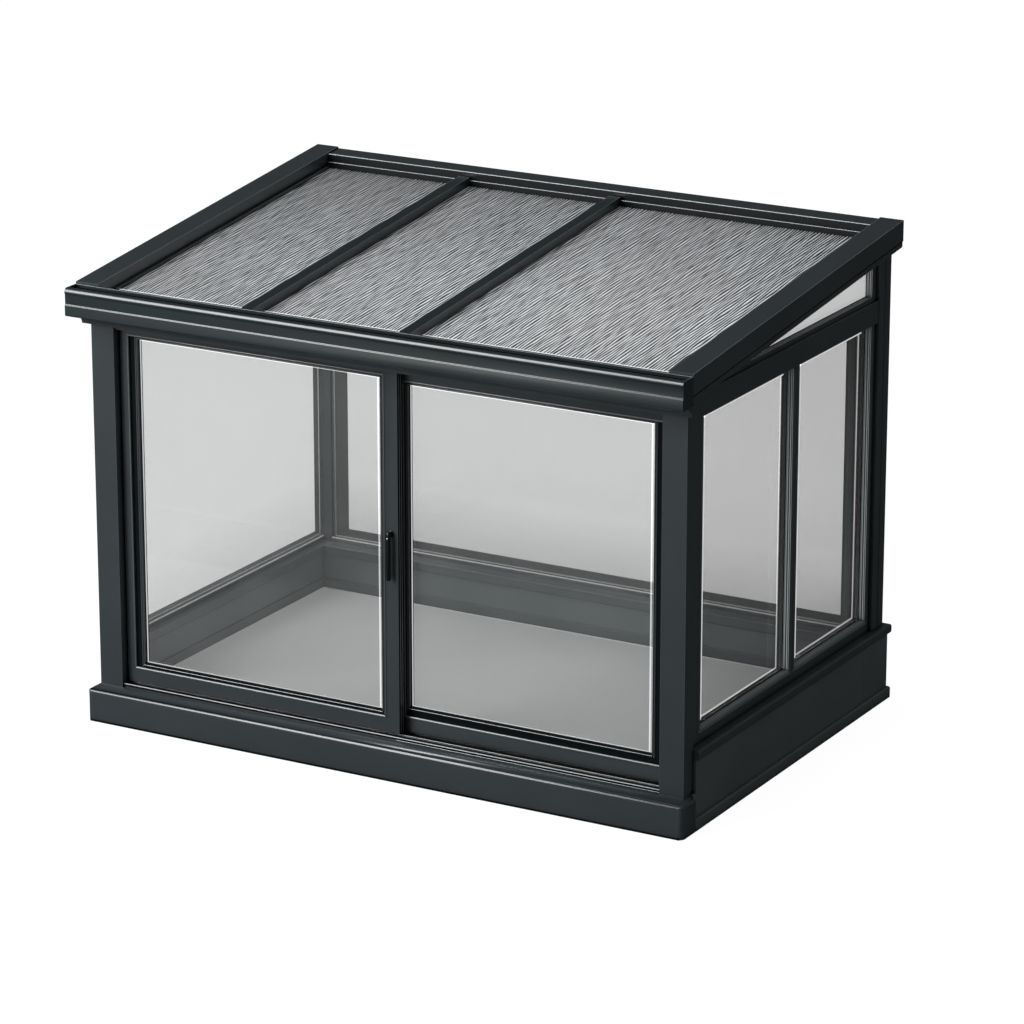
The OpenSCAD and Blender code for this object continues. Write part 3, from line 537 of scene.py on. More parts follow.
def slab(outline, near, far, place):
    """A flat plate with that outline, from one depth to another."""
    return lofted([[place(*p, depth) for p in outline] for depth in (near, far)])


def rectangle(a0, b0, a1, b1):
    """The outline of a rectangle, counter-clockwise."""
    return [(a0, b0), (a1, b0), (a1, b1), (a0, b1)]


def extent(outline):
    """The lowest a and b of an outline, and the highest."""
    return [pick(p[axis] for p in outline) for pick in (min, max) for axis in (0, 1)]


def leaning_block(x0, x1, front, rear, height):
    """A strip that follows a slope. front and rear are the (y, z) of its underside."""
    outline = [front, rear, (rear[0], rear[1] + height), (front[0], front[1] + height)]
    return lofted([[(x, *p) for p in outline] for x in (x0, x1)])


def block(low, high):
    """A box between two corners."""
    return leaning_block(low[0], high[0], (low[1], low[2]), (high[1], low[2]),
                         high[2] - low[2])


def rod_along_x(x0, x1, y, z, radius, steps=8):
    """A thin round rod along x."""
    turns = [2 * math.pi * i / steps for i in range(steps)]
    ring = [(y + radius * math.cos(t), z + radius * math.sin(t)) for t in turns]
    return lofted([[(x, *p) for p in ring] for x in (x0, x1)])


print("helpers ready")

# %% [markdown]
# ## Easing the edges
# No extrusion has a truly sharp edge, and the little rounding is what catches the light. So
# each coated profile is copied from its CAD node, its flat faces are merged, and its sharp
# edges are rounded by the Bevel modifier. The copy takes the CAD node's place.

# %% Easing the edges
EASED = {
    "frame": ["front_plinth", "left_dwarf_wall", "right_dwarf_wall", "rear_dwarf_wall",
              "left_sill_cap", "right_sill_cap", "rear_sill_cap", "front_left_post",
              "front_right_post", "rear_left_post", "rear_right_post", "left_window_frame",
              "right_window_frame", "rear_window_frame", "left_transom", "right_transom",
              "rear_transom", "door_header", "bed_mould", "gutter", "eaves_rail",
              "left_verge", "right_verge", "left_glazing_bar", "right_glazing_bar",
              "ridge_beam", "fixed_leaf_frame", "sliding_leaf_frame"],
    "track": ["door_track"],
}
EASE = {"door_track": 1.2, "front_plinth": 3.0, "left_verge": 4.0, "right_verge": 4.0,
        "fixed_leaf_frame": 3.0, "sliding_leaf_frame": 3.0}  # mm; the others have 2 mm
# The gutter and glazing bars take a darker coat that paints shade on them, the track a
# darker one that paints the shade under the leaves, and the dwarf walls the paler panel
# coat that paints light into their shade
COATS = {"door_track": TRACK_COAT, "gutter": ROOF_COAT, "left_glazing_bar": ROOF_COAT,
         "right_glazing_bar": ROOF_COAT, "left_dwarf_wall": PANEL_COAT,
         "right_dwarf_wall": PANEL_COAT, "rear_dwarf_wall": PANEL_COAT}


def eased_copy(name):
    source = nodes[name]
    mesh = source.data.copy()
    work = welded(mesh)
    bmesh.ops.dissolve_limit(work, angle_limit=math.radians(1), verts=work.verts,
                             edges=work.edges)
    work.to_mesh(mesh)
    work.free()
    piece = dressed(name + "_profile", mesh, COATS.get(name, FRAME_COAT),
                    source["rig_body"])
    rounding = piece.modifiers.new("eased edges", "BEVEL")
    rounding.width = EASE.get(name, 2.0) * MM
    rounding.segments = 2
    rounding.limit_method = "ANGLE"
    rounding.angle_limit = math.radians(30)
    rounding.harden_normals = True
    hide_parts(name)


for slot, names in EASED.items():
    for name in names:
        eased_copy(name)
print("eased profiles:", sum(len(names) for names in EASED.values()))

# %% [markdown]
# ## Reading the panes
# Each CAD pane gives the outline of its glass and the depth at which it sits. All that
# goes round a pane is drawn on that outline, with a depth that runs inwards from the
# glass's outer face, so one set of shapes serves all four sides of the building.

# %% Reading the panes
def pane_outlines(name, flat_axes):
    """The outline of each separate solid of a pane's node, in its two flat axes."""
    work = welded(nodes[name].data)
    left, found = set(work.verts), []
    while left:
        island, front = set(), [left.pop()]
        while front:
            vertex = front.pop()
            island.add(vertex)
            for edge in vertex.link_edges:
                other = edge.other_vert(vertex)
                if other in left:
                    left.discard(other)
                    front.append(other)
        flat = sorted({tuple(round(v.co[a], 4) for a in flat_axes) for v in island})
        kept = [p for i, p in enumerate(flat)
                if all(math.dist(p, q) > 0.5 * MM for q in flat[:i])]
        middle = np.mean(kept, axis=0)
        kept.sort(key=lambda p: math.atan2(p[1] - middle[1], p[0] - middle[0]))
        found.append(kept)
    work.free()
    return sorted(found)


def pane_frame(name, side):
    """The outlines and thickness of a pane, and the function that places its points."""
    low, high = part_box(name)
    faces_x = side in ("left", "right")
    inwards = -1 if side in ("right", "back") else 1
    outer = {"front": low.y, "back": high.y, "left": low.x, "right": high.x}[side]

    def place(a, b, depth):
        level = outer + inwards * depth
        return (level, a, b) if faces_x else (a, level, b)
    thick = high.x - low.x if faces_x else high.y - low.y
    return pane_outlines(name, (1, 2) if faces_x else (0, 2)), thick, place


# Which way each pane looks out, and the body of its pieces
PANES = {
    "sliding_leaf_glass": ("front", "sliding_door"),
    "fixed_leaf_glass": ("front", "building"),
    "rear_pane": ("back", "building"), "rear_top_light": ("back", "building"),
    "left_pane": ("left", "building"), "left_top_light": ("left", "building"),
    "right_panes": ("right", "building"), "right_top_light": ("right", "building"),
}
print("panes:", len(PANES))

# %% [markdown]
# ## Sealed glass units
# A sealed unit is two leaves of glass held apart by a spacer bar. From outside it reads as
# one clear pane with a pale line just inside its edge and a black rubber line outside
# that. The glass is drawn as one plate, a hair smaller than its opening so that no two
# faces lie in the same place. On the closing side of a door leaf the inner leaf's edge
# shows as a second pale line, and a grey strip closes the foot of the left and rear panes.

# %% Sealed glass units
GASKET_FACE, GASKET_STANDS, SPACER_WIDTH, GLASS_GAP = 4 * MM, 3 * MM, 4.5 * MM, 1 * MM
SPACER_DEPTH = (1 * MM, 4 * MM)      # from the glass's outer face
REVEALED = ("right_panes", "right_top_light")
REVEAL_DEPTH = (30 * MM, 33 * MM)    # there it lies by the reveal's inner edge
INNER_EDGE = (22 * MM, 14 * MM)      # the second line, in from the closing side
STRIP_HEIGHT, STRIP_DEPTH = 4 * MM, (26 * MM, 34 * MM)
DISTANT = ("rear_pane", "rear_top_light", "left_pane", "left_top_light")
GLASS = {"front": DOOR_GLASS, "back": GREY_GLASS, "left": WINDOW_GLASS,
         "right": WINDOW_GLASS}


def gasket_section(face, out):
    """A rubber lip with a rounded nose: face is the glass's depth, out is -1 or 1."""
    nose = face + out * GASKET_STANDS
    return [(0, face), (GASKET_FACE, face),
            (GASKET_FACE * 0.8, face + out * GASKET_STANDS * 0.7),
            (GASKET_FACE * 0.3, nose), (0, nose)]


for name, (side, body) in PANES.items():
    outlines, thick, place = pane_frame(name, side)
    plates = [slab(inset(o, GLASS_GAP), 0.0, thick, place) for o in outlines]
    unit = make_piece(name + "_unit", plates,
                      SATIN_GLASS if "top_light" in name else GLASS[side], body)
    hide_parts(name)
    rims = [swept_ring(o, gasket_section(face, out), place)
            for o in outlines for face, out in ((0.0, -1), (thick, 1))]
    make_piece(name + "_gaskets", rims, RUBBER, body, smooth=True)
    reach = GASKET_FACE + SPACER_WIDTH
    near, far = REVEAL_DEPTH if name in REVEALED else SPACER_DEPTH
    start = 0.0 if name in REVEALED else GLASS_GAP * 2
    bars = [swept_ring(o, [(start, near), (reach, near), (reach, far), (start, far)], place)
            for o in outlines]
    left, foot, right, head = extent(outlines[0])
    if side == "front":
        line = rectangle(right - INNER_EDGE[0], foot + reach,
                         right - INNER_EDGE[1], head - reach)
        bars.append(slab(line, near, near + 1 * MM, place))
    # The spacer bars in front and on the right show the glass edge's painted glow, and the
    # distant ones are dull grey
    make_piece(name + "_spacer", bars,
               DULL_SPACER if name in DISTANT else EDGE_GLOW, body)
    if name in ("left_pane", "rear_pane"):
        strip = rectangle(left, foot, right, foot + STRIP_HEIGHT)
        make_piece(name + "_sill_strip", [slab(strip, *STRIP_DEPTH, place)], SILL_STRIP,
                   body)
    print(name, [[tuple(round(float(c), 3) for c in p) for p in o] for o in outlines],
          "thickness", round(thick / MM, 1), "mm")

# %% [markdown]
# ## Glazing beads on the doors
# A bead is the thin profile that is snapped in last and holds a pane in its sash. On this
# door it has two fine raised ribs, and a third runs round the opening in the leaf's face. A
# thin sheet of black rubber in the groove between bead and leaf paints the groove's shade.
# Along the bottom the profile ends in a round nosing, whose paler coat paints a highlight
# on it, and a black wedge with one fine rib presses the glass home. Beads and ribs are
# sections swept round the pane's outline, so that their corners are mitred.

# %% Glazing beads on the doors
BEAD_SEAT, BEAD_WIDTH, BEAD_PLATE, BEAD_RIB = -10 * MM, 18 * MM, 3 * MM, 7 * MM
WEDGE_DROP, WEDGE_SPREAD, WEDGE_FACE = 19 * MM, 14 * MM, -17 * MM
HALF_ROUND = [(math.cos(math.pi * i / 5), math.sin(math.pi * i / 5)) for i in range(6)]


def rib_section(start, width, base, height):
    """A half-round rib that stands on a face at depth base, across the outline."""
    return [(start - (1 + run) * width / 2, base - rise * height)
            for run, rise in HALF_ROUND]


def face_opening(name):
    """The rectangle cut through a leaf's front face, as (x, z) points."""
    leaf = nodes[name]
    front = min(v.co.y for v in leaf.data.vertices)
    face = [v.co for v in leaf.data.vertices if abs(v.co.y - front) < 0.1 * MM]
    xs = sorted({round(p.x, 4) for p in face})
    zs = sorted({round(p.z, 4) for p in face})
    return rectangle(xs[1], zs[1], xs[-2], zs[-2])


for leaf, name in (("sliding_leaf_frame", "sliding_leaf_glass"),
                   ("fixed_leaf_frame", "fixed_leaf_glass")):
    outlines, thick, place = pane_frame(name, "front")
    pane, opening, body = outlines[0], face_opening(leaf), PANES[name][1]
    plate = BEAD_SEAT - BEAD_PLATE
    bead = [(0.0, BEAD_SEAT), (0.0, plate)]
    for start in (-1 * MM, -10 * MM):
        bead += rib_section(start, BEAD_RIB, plate, 3 * MM)[::-1]
    bead += [(-BEAD_WIDTH, plate), (-BEAD_WIDTH, BEAD_SEAT)]
    rim = rib_section(-0.5 * MM, 9 * MM, BEAD_SEAT - 11.5 * MM, 4 * MM)
    make_piece(name + "_beads",
               [swept_ring(pane, bead, place), swept_ring(opening, rim, place)],
               FRAME_COAT, body, smooth=True)
    (x0, z0), (x1, _) = opening[:2]
    nosing = rod_along_x(x0, x1, place(0, 0, BEAD_SEAT - 11 * MM)[1], z0 - 0.5 * MM,
                         5.5 * MM)
    make_piece(name + "_nosing", [nosing], NOSING_COAT, body, smooth=True)
    x0, z0, x1, _ = extent(pane)
    wedge = [(x0 - WEDGE_SPREAD, z0 - WEDGE_DROP), (x1 + WEDGE_SPREAD, z0 - WEDGE_DROP),
             (x1, z0 + 3 * MM), (x0, z0 + 3 * MM)]
    make_piece(name + "_wedge", [slab(wedge, WEDGE_FACE, -6 * MM, place)], RUBBER, body)
    rib = rod_along_x(x0 - 4 * MM, x1 + 4 * MM, place(0, 0, WEDGE_FACE)[1], z0 - 6 * MM,
                      2 * MM)
    make_piece(name + "_wedge_rib", [rib], FRAME_COAT, body, smooth=True)
    # The groove's liner, a thin black sheet that paints the groove's shade, joins the
    # opening to the pane, corner to nearest corner
    first = min(range(4), key=lambda i: math.dist(opening[i], pane[0]))
    opening = opening[first:] + opening[:first]
    liner = [place(*p, depth) for ring, depth in (
        (opening, BEAD_SEAT), (pane, BEAD_SEAT), (pane, BEAD_SEAT - 1 * MM),
        (opening, BEAD_SEAT - 1 * MM)) for p in ring]
    make_piece(name + "_groove_liner", [(liner, ring_faces(4, 4, closed=True))], RUBBER,
               body)
    print(name, "opening", [round(c, 3) for c in opening[0] + opening[2]])

# %% [markdown]
# ## Ribs in the window reveals
# The reveal is the face that runs inwards round a pane. On these windows it has three fine
# ribs, and two more run round the face of the right-hand windows.

# %% Ribs in the window reveals
FACE_DEPTH = -34 * MM  # how far the right-hand window's face stands out from its glass


def reveal_rib(depth, width, height):
    """A half-round rib on the reveal."""
    return [(rise * height, depth - run * width / 2) for run, rise in HALF_ROUND]


for name in ("left_pane", "right_panes", "rear_pane", "right_top_light"):
    outlines, thick, place = pane_frame(name, PANES[name][0])
    ribs = [swept_ring(o, reveal_rib(depth * MM, 6 * MM, 3 * MM), place)
            for o in outlines for depth in (-28, -19, -10)]
    make_piece(name + "_ribs", ribs, FRAME_COAT, smooth=True)
    if name == "right_panes":
        ribs = [swept_ring(o, rib_section(start * MM, 6 * MM, FACE_DEPTH, 3 * MM), place)
                for o in outlines for start in (-3, -14)]
        make_piece(name + "_face_ribs", ribs, FRAME_COAT, smooth=True)
print("ribs done")

# %% [markdown]
# ## Glazing tape and jamb linings
# On the right-hand openings a pale glazing tape with a painted glow draws a bright line
# along the front and upper edges of each pane, and a pale ribbed lining covers the rear
# jamb, a very pale coat that paints light into the jamb's shade. Both stop where the sill
# and the jamb begin. Each side of a pane's outline is taken by the way it faces: forwards,
# upwards or backwards.

# %% Glazing tape and jamb linings
TAPE_SIDE, TAPE_TOP, TAPE_DEPTH = 9 * MM, 6 * MM, (-35 * MM, -33 * MM)
TAPE_LIFT, TAPE_STOP = 44 * MM, 115 * MM  # kept clear of the sill and of the rear jamb
LINING = 1.5 * MM
JAMB_BANDS = ((-33, 32, 0), (-27, 5, 2.5), (-15, 5, 2.5), (25, 5, 0))  # depth, width, stand
tapes, linings = [], []
for name in REVEALED:
    outlines, thick, place = pane_frame(name, "right")
    for outline in outlines:
        front = extent(outline)[0]
        for i, here in enumerate(outline):
            after = outline[(i + 1) % len(outline)]
            run, rise = after[0] - here[0], after[1] - here[1]
            length = math.hypot(run, rise)
            out_y, out_z = rise / length, -run / length
            foot, head = min(here[1], after[1]), max(here[1], after[1])
            if out_y < -0.9 and length > 0.2:
                tape = rectangle(front, foot + TAPE_LIFT, front + TAPE_SIDE, head)
                tapes.append(slab(tape, *TAPE_DEPTH, place))
            elif out_z > 0.9:
                share = 1 - TAPE_STOP / length
                rear, fore = (here, after) if here[0] > after[0] else (after, here)
                end = [f + (r - f) * share for f, r in zip(fore, rear)]
                under = [(p[0], p[1] - TAPE_TOP) for p in (fore, end)]
                tapes.append(slab([*under, end, fore], *TAPE_DEPTH, place))
            elif out_y > 0.9:
                for depth, width, stand in JAMB_BANDS:
                    band = rectangle(here[0] - LINING - stand * MM, foot, here[0], head)
                    linings.append(slab(band, depth * MM, (depth + width) * MM, place))
# The tape's white plastic carries a painted glow
make_piece("right_glazing_tape", tapes, SPACER)
make_piece("right_jamb_linings", linings, REVEAL_COAT)
print("tapes:", len(tapes), "lining bands:", len(linings))

# %% [markdown]
# ## The interlock
# Where the two door leaves meet, the sliding one carries a rubber seal on its closing side,
# with two thin fins that brush past the fixed leaf. They ride on the sliding leaf.

# %% The interlock
low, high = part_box("sliding_leaf_frame")
seal = block((high.x - 1 * MM, low.y + 2 * MM, low.z + 4 * MM),
             (high.x + 1 * MM, high.y - 1 * MM, high.z - 4 * MM))
make_piece("interlock_seal", [seal], RUBBER, "sliding_door")
fins = [block((high.x, low.y + at * MM, low.z + 6 * MM),
              (high.x + 3 * MM, low.y + (at + 5) * MM, high.z - 6 * MM)) for at in (9, 27)]
# The fins take the paler panel coat, painted light that lifts them out of their shade
make_piece("interlock_fins", fins, PANEL_COAT, "sliding_door")
print("interlock height:", round((high.z - low.z - 8 * MM) / MM), "mm")

# %% [markdown]
# ## Reeded roof sheets
# Each sheet's section across the roof is a row of reeds 16.5 mm apart. An extruded reed is
# never perfectly even: neighbours crowd and part, and each swells and fades along its
# length, which makes the streaks that the eye sees. The wander is drawn from a seeded
# random list, so the sheets come out the same each time. The height of every point is kept
# as an attribute for the finish.

# %% Reeded roof sheets
REED_PITCH, REED_HEIGHT, SAMPLE, STATION = 16.5 * MM, 4.5 * MM, 2.5 * MM, 32 * MM
TURN = 6.3  # radians: a full turn, near enough for a random phase
# Waves in radians a metre: across the sheet, along it, and across again for the second beat
CROWD, SWELL = (59, 13, 21), (131, 26, 43)


def reeded_sheet(name, seed):
    low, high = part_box(name)
    dice = random.Random(seed)
    rows = sorted({(round(v.co.y, 5), round(v.co.z, 5)) for v in nodes[name].data.vertices})
    front_rows = [z for y, z in rows if abs(y - low.y) < MM]
    front_top, front_low = max(front_rows), min(front_rows)
    rear_top = max(z for y, z in rows if abs(y - high.y) < MM)
    slope = (rear_top - front_top) / (high.y - low.y)
    across = max(2, round((high.x - low.x) / SAMPLE))
    along = max(2, round((high.y - low.y) / STATION))
    waves = [(dice.uniform(0.15, 0.6), dice.uniform(0.9, 2.6), dice.uniform(0, TURN))
             for _ in range(7)]
    slow = [(dice.uniform(3, 9), dice.uniform(1.5, 7), dice.uniform(0, TURN))
            for _ in range(5)]
    points, heights = [], []
    for j in range(along + 1):
        y = low.y + (high.y - low.y) * j / along
        for i in range(across + 1):
            x = low.x + (high.x - low.x) * i / across
            wander = sum(a * math.sin(f * TURN * x + g * y + p)
                         for (a, f, p), (_, g, _) in zip(waves, slow * 2))
            wander += (1.8 * math.sin(CROWD[0] * x + slow[1][0] * y)
                       * math.sin(CROWD[1] * y + CROWD[2] * x))
            size = 0.5 + (0.5 * math.sin(SWELL[0] * x + slow[0][0] * y)
                          * math.sin(SWELL[1] * y + SWELL[2] * x))
            phase = 2 * math.pi * x / REED_PITCH + wander
            height = (0.5 + 0.5 * math.sin(phase)) * (0.5 + 0.5 * size)
            heights.append(height)
            top = front_top + slope * (y - low.y)
            points.append((x, y, top - REED_HEIGHT * (1 - height)))
    row, base = across + 1, len(points)
    for y in (low.y, high.y):
        under = front_low + slope * (y - low.y)
        points += [(low.x, y, under), (high.x, y, under)]
    faces = [[k, k + 1, k + 1 + row, k + row]
             for j in range(along) for k in range(j * row, j * row + across)]
    front, rear = list(range(row)), list(range(along * row, along * row + row))
    left = [j * row for j in range(along + 1)]
    right = [k + across for k in left]
    faces += [[base, base + 1] + front[::-1], [base + 3, base + 2] + rear,
              [base + 2, base] + left, [base + 1, base + 3] + right[::-1],
              [base, base + 2, base + 3, base + 1]]
    sheet = make_piece(name + "_reeded", [(points, faces)], SHEET,
                       smooth=True)
    assert len(sheet.data.vertices) == len(points)
    heights += [0.5] * (len(points) - len(heights))
    reed = sheet.data.attributes.new("reed_height", "FLOAT", "POINT")
    reed.data.foreach_set("value", heights)
    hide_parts(name)
    print(name, "reeds:", round((high.x - low.x) / REED_PITCH), "thickness",
          round((front_top - front_low) / MM, 1), "mm", len(faces), "faces")


ROOF_SHEETS = ("left_roof_sheet", "middle_roof_sheet", "right_roof_sheet")
for seed, name in enumerate(ROOF_SHEETS, start=4):
    reeded_sheet(name, seed)

# %% [markdown]
# ## The pull handle
# The handle is a cast bar on a round rose, black and a little glossier than the frame. Its
# face is gently domed, so it is built from capsule outlines that shrink towards the front,
# like the contour lines of a hill. The rose and neck are turned shapes, and a small cap of
# polished steel hides the fixing screw.

# %% The pull handle
def capsule(x, low, high, radius, steps=16):
    """An upright rounded outline in x and z, counter-clockwise."""
    turns = [math.pi * i / steps for i in range(steps + 1)]
    top = [(x + radius * math.cos(t), high - radius + radius * math.sin(t)) for t in turns]
    foot = [(x - radius * math.cos(t), low + radius - radius * math.sin(t)) for t in turns]
    return top + foot


def in_mm(*levels):
    """Levels of a hill, written in millimetres."""
    return [(move * MM, out * MM) for move, out in levels]


handle_low, handle_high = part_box("door_handle")
stile_face = handle_high.y
handle_x = (handle_low.x + handle_high.x) / 2
rose_radius, bar_radius = (handle_high.x - handle_low.x) / 2, 12 * MM
bar_top = handle_high.z - (rose_radius - bar_radius)
neck_z = bar_top - bar_radius


def from_stile(a, b, out):
    """A point that stands out from the stile's face."""
    return (a, stile_face - out, b)


handle_bar = hill(capsule(handle_x, handle_low.z, bar_top, bar_radius),
                  in_mm((4, 20), (1, 21), (0, 23), (0.6, 26.5), (2.4, 29.2), (5, 31),
                        (8, 31.9)), from_stile)
disc = capsule(handle_x, neck_z - rose_radius, neck_z + rose_radius, rose_radius)
rose = hill(disc, in_mm((0, 0), (0, 3), (1.2, 5), (3.5, 6)), from_stile)
neck = hill(disc, in_mm((6, 5), (8, 8), (8.5, 14), (7, 21)), from_stile)
handle = make_piece("door_pull_handle", [handle_bar, rose, neck], HANDLE_COAT,
                    "sliding_door", smooth=True)
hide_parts("door_handle")
cap = hill(capsule(handle_x, bar_top - 36 * MM, bar_top - 24 * MM, 6 * MM),
           in_mm((0, 30), (0.3, 32), (1.5, 34), (3.2, 35.2), (4.8, 35.6)), from_stile)
make_piece("handle_screw_cap", [cap], STEEL, "sliding_door", smooth=True)
print("handle:", round((bar_top - handle_low.z) / MM), "mm long")

# %% [markdown]
# ## Trim inside the room
# A low skirting board with a fine bead at its foot closes the joint between the walls and
# the floor, and a stepped moulding runs under the sills.

# %% Trim inside the room
floor_low, floor_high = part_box("floor_deck")
sill_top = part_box("left_sill_cap")[1].z
BOARD_HEIGHT, BOARD_DEPTH, BEAD_SIZE = 55 * MM, 6 * MM, (9 * MM, 5 * MM)
SILL_STEPS = ((4, -64, -52), (9, -46, -24), (5, -20, -12))  # depth, and heights by the sill


def wall_strips(depth, low, high):
    """Three strips along the left, right and rear inner walls."""
    x0, x1, y0, y1 = floor_low.x, floor_high.x, floor_low.y, floor_high.y
    return [block((x0, y0, low), (x0 + depth, y1, high)),
            block((x1 - depth, y0, low), (x1, y1, high)),
            block((x0, y1 - depth, low), (x1, y1, high))]


z = floor_high.z
make_piece("inner_skirting_boards", wall_strips(BOARD_DEPTH, z, z + BOARD_HEIGHT),
           FRAME_COAT)
make_piece("inner_floor_beads", wall_strips(BEAD_SIZE[0], z, z + BEAD_SIZE[1]), DULL_SPACER)
mouldings = [strip for depth, low, high in SILL_STEPS for strip in wall_strips(
    depth * MM, sill_top + low * MM, sill_top + high * MM)]
make_piece("inner_sill_mouldings", mouldings, FRAME_COAT)
print("inner trim:", 6 + len(mouldings), "strips")

# %% [markdown]
# ## Trim on the roof
# Along the lower edge of each roof sheet a pale closing profile keeps insects out of the
# sheet's channels, behind a black seal. A pale strip along its right edge paints a
# highlight there, and closers and strips carry the white plastic's painted glow. Two beads
# in a paler coat paint highlights along the front of the ridge, where the beam steps down,
# and dark strips paint the shade on its faces. A black strip paints the shadow line along
# the small step on each verge.

# %% Trim on the roof
closers, dark_strips = [], []
for name in ROOF_SHEETS:
    low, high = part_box(name)
    closers.append(block((low.x, low.y + 18 * MM, low.z + 14 * MM),
                         (high.x, low.y + 26 * MM, low.z + 19 * MM)))
    dark_strips.append(block((low.x, low.y, low.z + 14 * MM),
                       (high.x, low.y + 18 * MM, low.z + 18 * MM)))
    rise = (high.z - low.z - 16 * MM) / (high.y - low.y)
    closers.append(leaning_block(high.x - 5 * MM, high.x,
                                 (low.y + 20 * MM, low.z + 14 * MM + rise * 20 * MM),
                                 (high.y, high.z - 2 * MM), 4 * MM))
# The closers glow with painted light, and the strips on the right edges paint a highlight
make_piece("sheet_edge_closers", closers, SPACER)

# The ridge beam's two front arrises: of its top, and of the step just under 2.4 m
ridge = [v.co for v in nodes["ridge_beam"].data.vertices]
top_front = min((c for c in ridge if c.z > 2.42), key=lambda c: c.y)
step_front = min((c for c in ridge if 2.39 < c.z < 2.4), key=lambda c: c.y)
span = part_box("ridge_beam")[1].x - 1 * MM
beads, ridge_shade_strips = [], []
for edge, radius, foot in ((top_front, 3 * MM, step_front.z + 2 * MM),
                           (step_front, 2 * MM, step_front.z - 43 * MM)):
    beads.append(rod_along_x(-span, span, edge.y, edge.z, radius))
    ridge_shade_strips.append(block((-span, edge.y - 1 * MM, foot),
                          (span, edge.y + 20 * MM, edge.z - 3 * MM)))
# The beads' paler coat paints their highlights, and the dark strips paint the shade on the
# ridge's faces
make_piece("ridge_beads", beads, BEAD_COAT, smooth=True)
make_piece("ridge_painted_shade_strips", ridge_shade_strips, RIDGE_SHADE_COAT)

VERGE_DROP, VERGE_LINE, VERGE_CUT = 99 * MM, 6 * MM, 5 * MM
for name in ("left_verge", "right_verge"):
    low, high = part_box(name)
    front_top = max(v.co.z for v in nodes[name].data.vertices if abs(v.co.y - low.y) < MM)
    x0 = low.x if name == "left_verge" else high.x - VERGE_CUT
    # A black strip paints the shadow line under the verge's step
    drop = VERGE_DROP + VERGE_LINE
    dark_strips.append(leaning_block(x0, x0 + VERGE_CUT, (low.y, front_top - drop),
                               (high.y, high.z - drop), VERGE_LINE))
print("ridge edges at", [round(c, 3) for c in (top_front.z, step_front.z)], "m")

# %% [markdown]
# ## Seals and running edges at the foot
# The lip of the door's track has a running edge, worn bright by the rollers and by feet,
# whose pale coat also paints a highlight on it. Under it a black brush paints the shade of
# the gap below the leaf. A second brush and two thin black glide mats lie beside the outer
# rail and paint the shade there, and a black bedding strip paints the shadow line under the
# front plinth. A black strip paints the shade in the gutter's back.

# %% Seals and running edges at the foot
gutter_low, gutter_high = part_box("gutter")
track_low, track_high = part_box("door_track")
plinth_low, plinth_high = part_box("front_plinth")
GUTTER_HALF = 1650 * MM
lip, inner, base = track_low.y, track_high.x - 1 * MM, track_high.z - 11 * MM
# Painted shade: black strips in the gutter's back, in the gap under the leaf and at the
# foot of the plinth
dark_strips += [
    block((-GUTTER_HALF, gutter_high.y - 8 * MM, gutter_low.z + 20 * MM),
          (GUTTER_HALF, gutter_high.y - 5 * MM, gutter_high.z - 17 * MM)),
    block((-inner, lip - 1 * MM, track_low.z + 4 * MM),
          (inner, lip + 1 * MM, track_high.z - 4 * MM)),
    block((plinth_low.x + 16 * MM, plinth_low.y - 0.5 * MM, 0.5 * MM),
          (plinth_high.x - 16 * MM, plinth_low.y + 4 * MM, 11 * MM))]
# A second brush and two thin mats: painted shade beside the outer rail
for near, far, foot, head in ((4, 26, 0, 8), (26, 46, 0.2, 1.2), (56, 84, 0.2, 1.2)):
    dark_strips.append(block((-inner, lip + near * MM, base + foot * MM),
                       (inner, lip + far * MM, base + head * MM)))
make_piece("black_seals_and_shade_strips", dark_strips, RUBBER)

# The lip's upper edge, its lower edge from past the meeting stile, and the outer rail
past_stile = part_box("fixed_leaf_frame")[0].x + 86 * MM
make_piece("track_running_edges", [
    rod_along_x(-inner, inner, lip, track_high.z - 2 * MM, 2.4 * MM),
    rod_along_x(past_stile, inner, lip, track_low.z + 2 * MM, 2.2 * MM),
    rod_along_x(-inner, inner, lip + 50 * MM, track_high.z - 4.4 * MM, 1.8 * MM)],
    RUNNING_COAT, smooth=True)
print("black seals:", len(dark_strips))

# %% [markdown]
# ## Finishes on the CAD pieces that stay
# The floor, its bearers and the door's rollers have the right shape already, so they only
# get their finishes.

# %% Finishes on the CAD pieces that stay
KEPT = {"floor_deck": SCREED, "floor_bearers": TRACK_COAT, "door_rollers": NYLON}
for name, finish in KEPT.items():
    nodes[name].data.materials.clear()
    nodes[name].data.materials.append(finish)
print("CAD pieces shown:", [n for n, o in nodes.items() if not o.hide_render])

# %% [markdown]
# ## The studio floor and the world
# The ground and the world are white to the eye and through glass, but light the object
# only gently, and mirrors see them nearly dark, as if black cloths hung beside the camera.
# Light Path tells the rays apart.

# %% The studio floor and the world
LIT_GREY, MIRRORED_GREY, REACH = "b6b6b6", "3a3a3a", 40.0


def studio_floor():
    material, tree, _ = new_finish("pale_studio_floor")
    path = node(tree, "LightPath")
    grey = node(tree, "Mix", {
        0: path.outputs["Is Glossy Ray"], 6: linear(LIT_GREY), 7: linear(MIRRORED_GREY)},
        data_type="RGBA")
    pale = node(tree, "Mix", {
        0: path.outputs["Is Camera Ray"], 6: grey, 7: linear("e6e6e6")}, data_type="RGBA")
    share = node(tree, "Math", {
        0: path.outputs["Is Camera Ray"], 1: 0.8}, operation="MULTIPLY")
    lit = node(tree, "BsdfDiffuse", {"Color": pale})
    white = node(tree, "Emission", {"Color": linear("ffffff"), "Strength": 1.19})
    return finished(material, node(tree, "MixShader", {0: share, 1: lit, 2: white}))


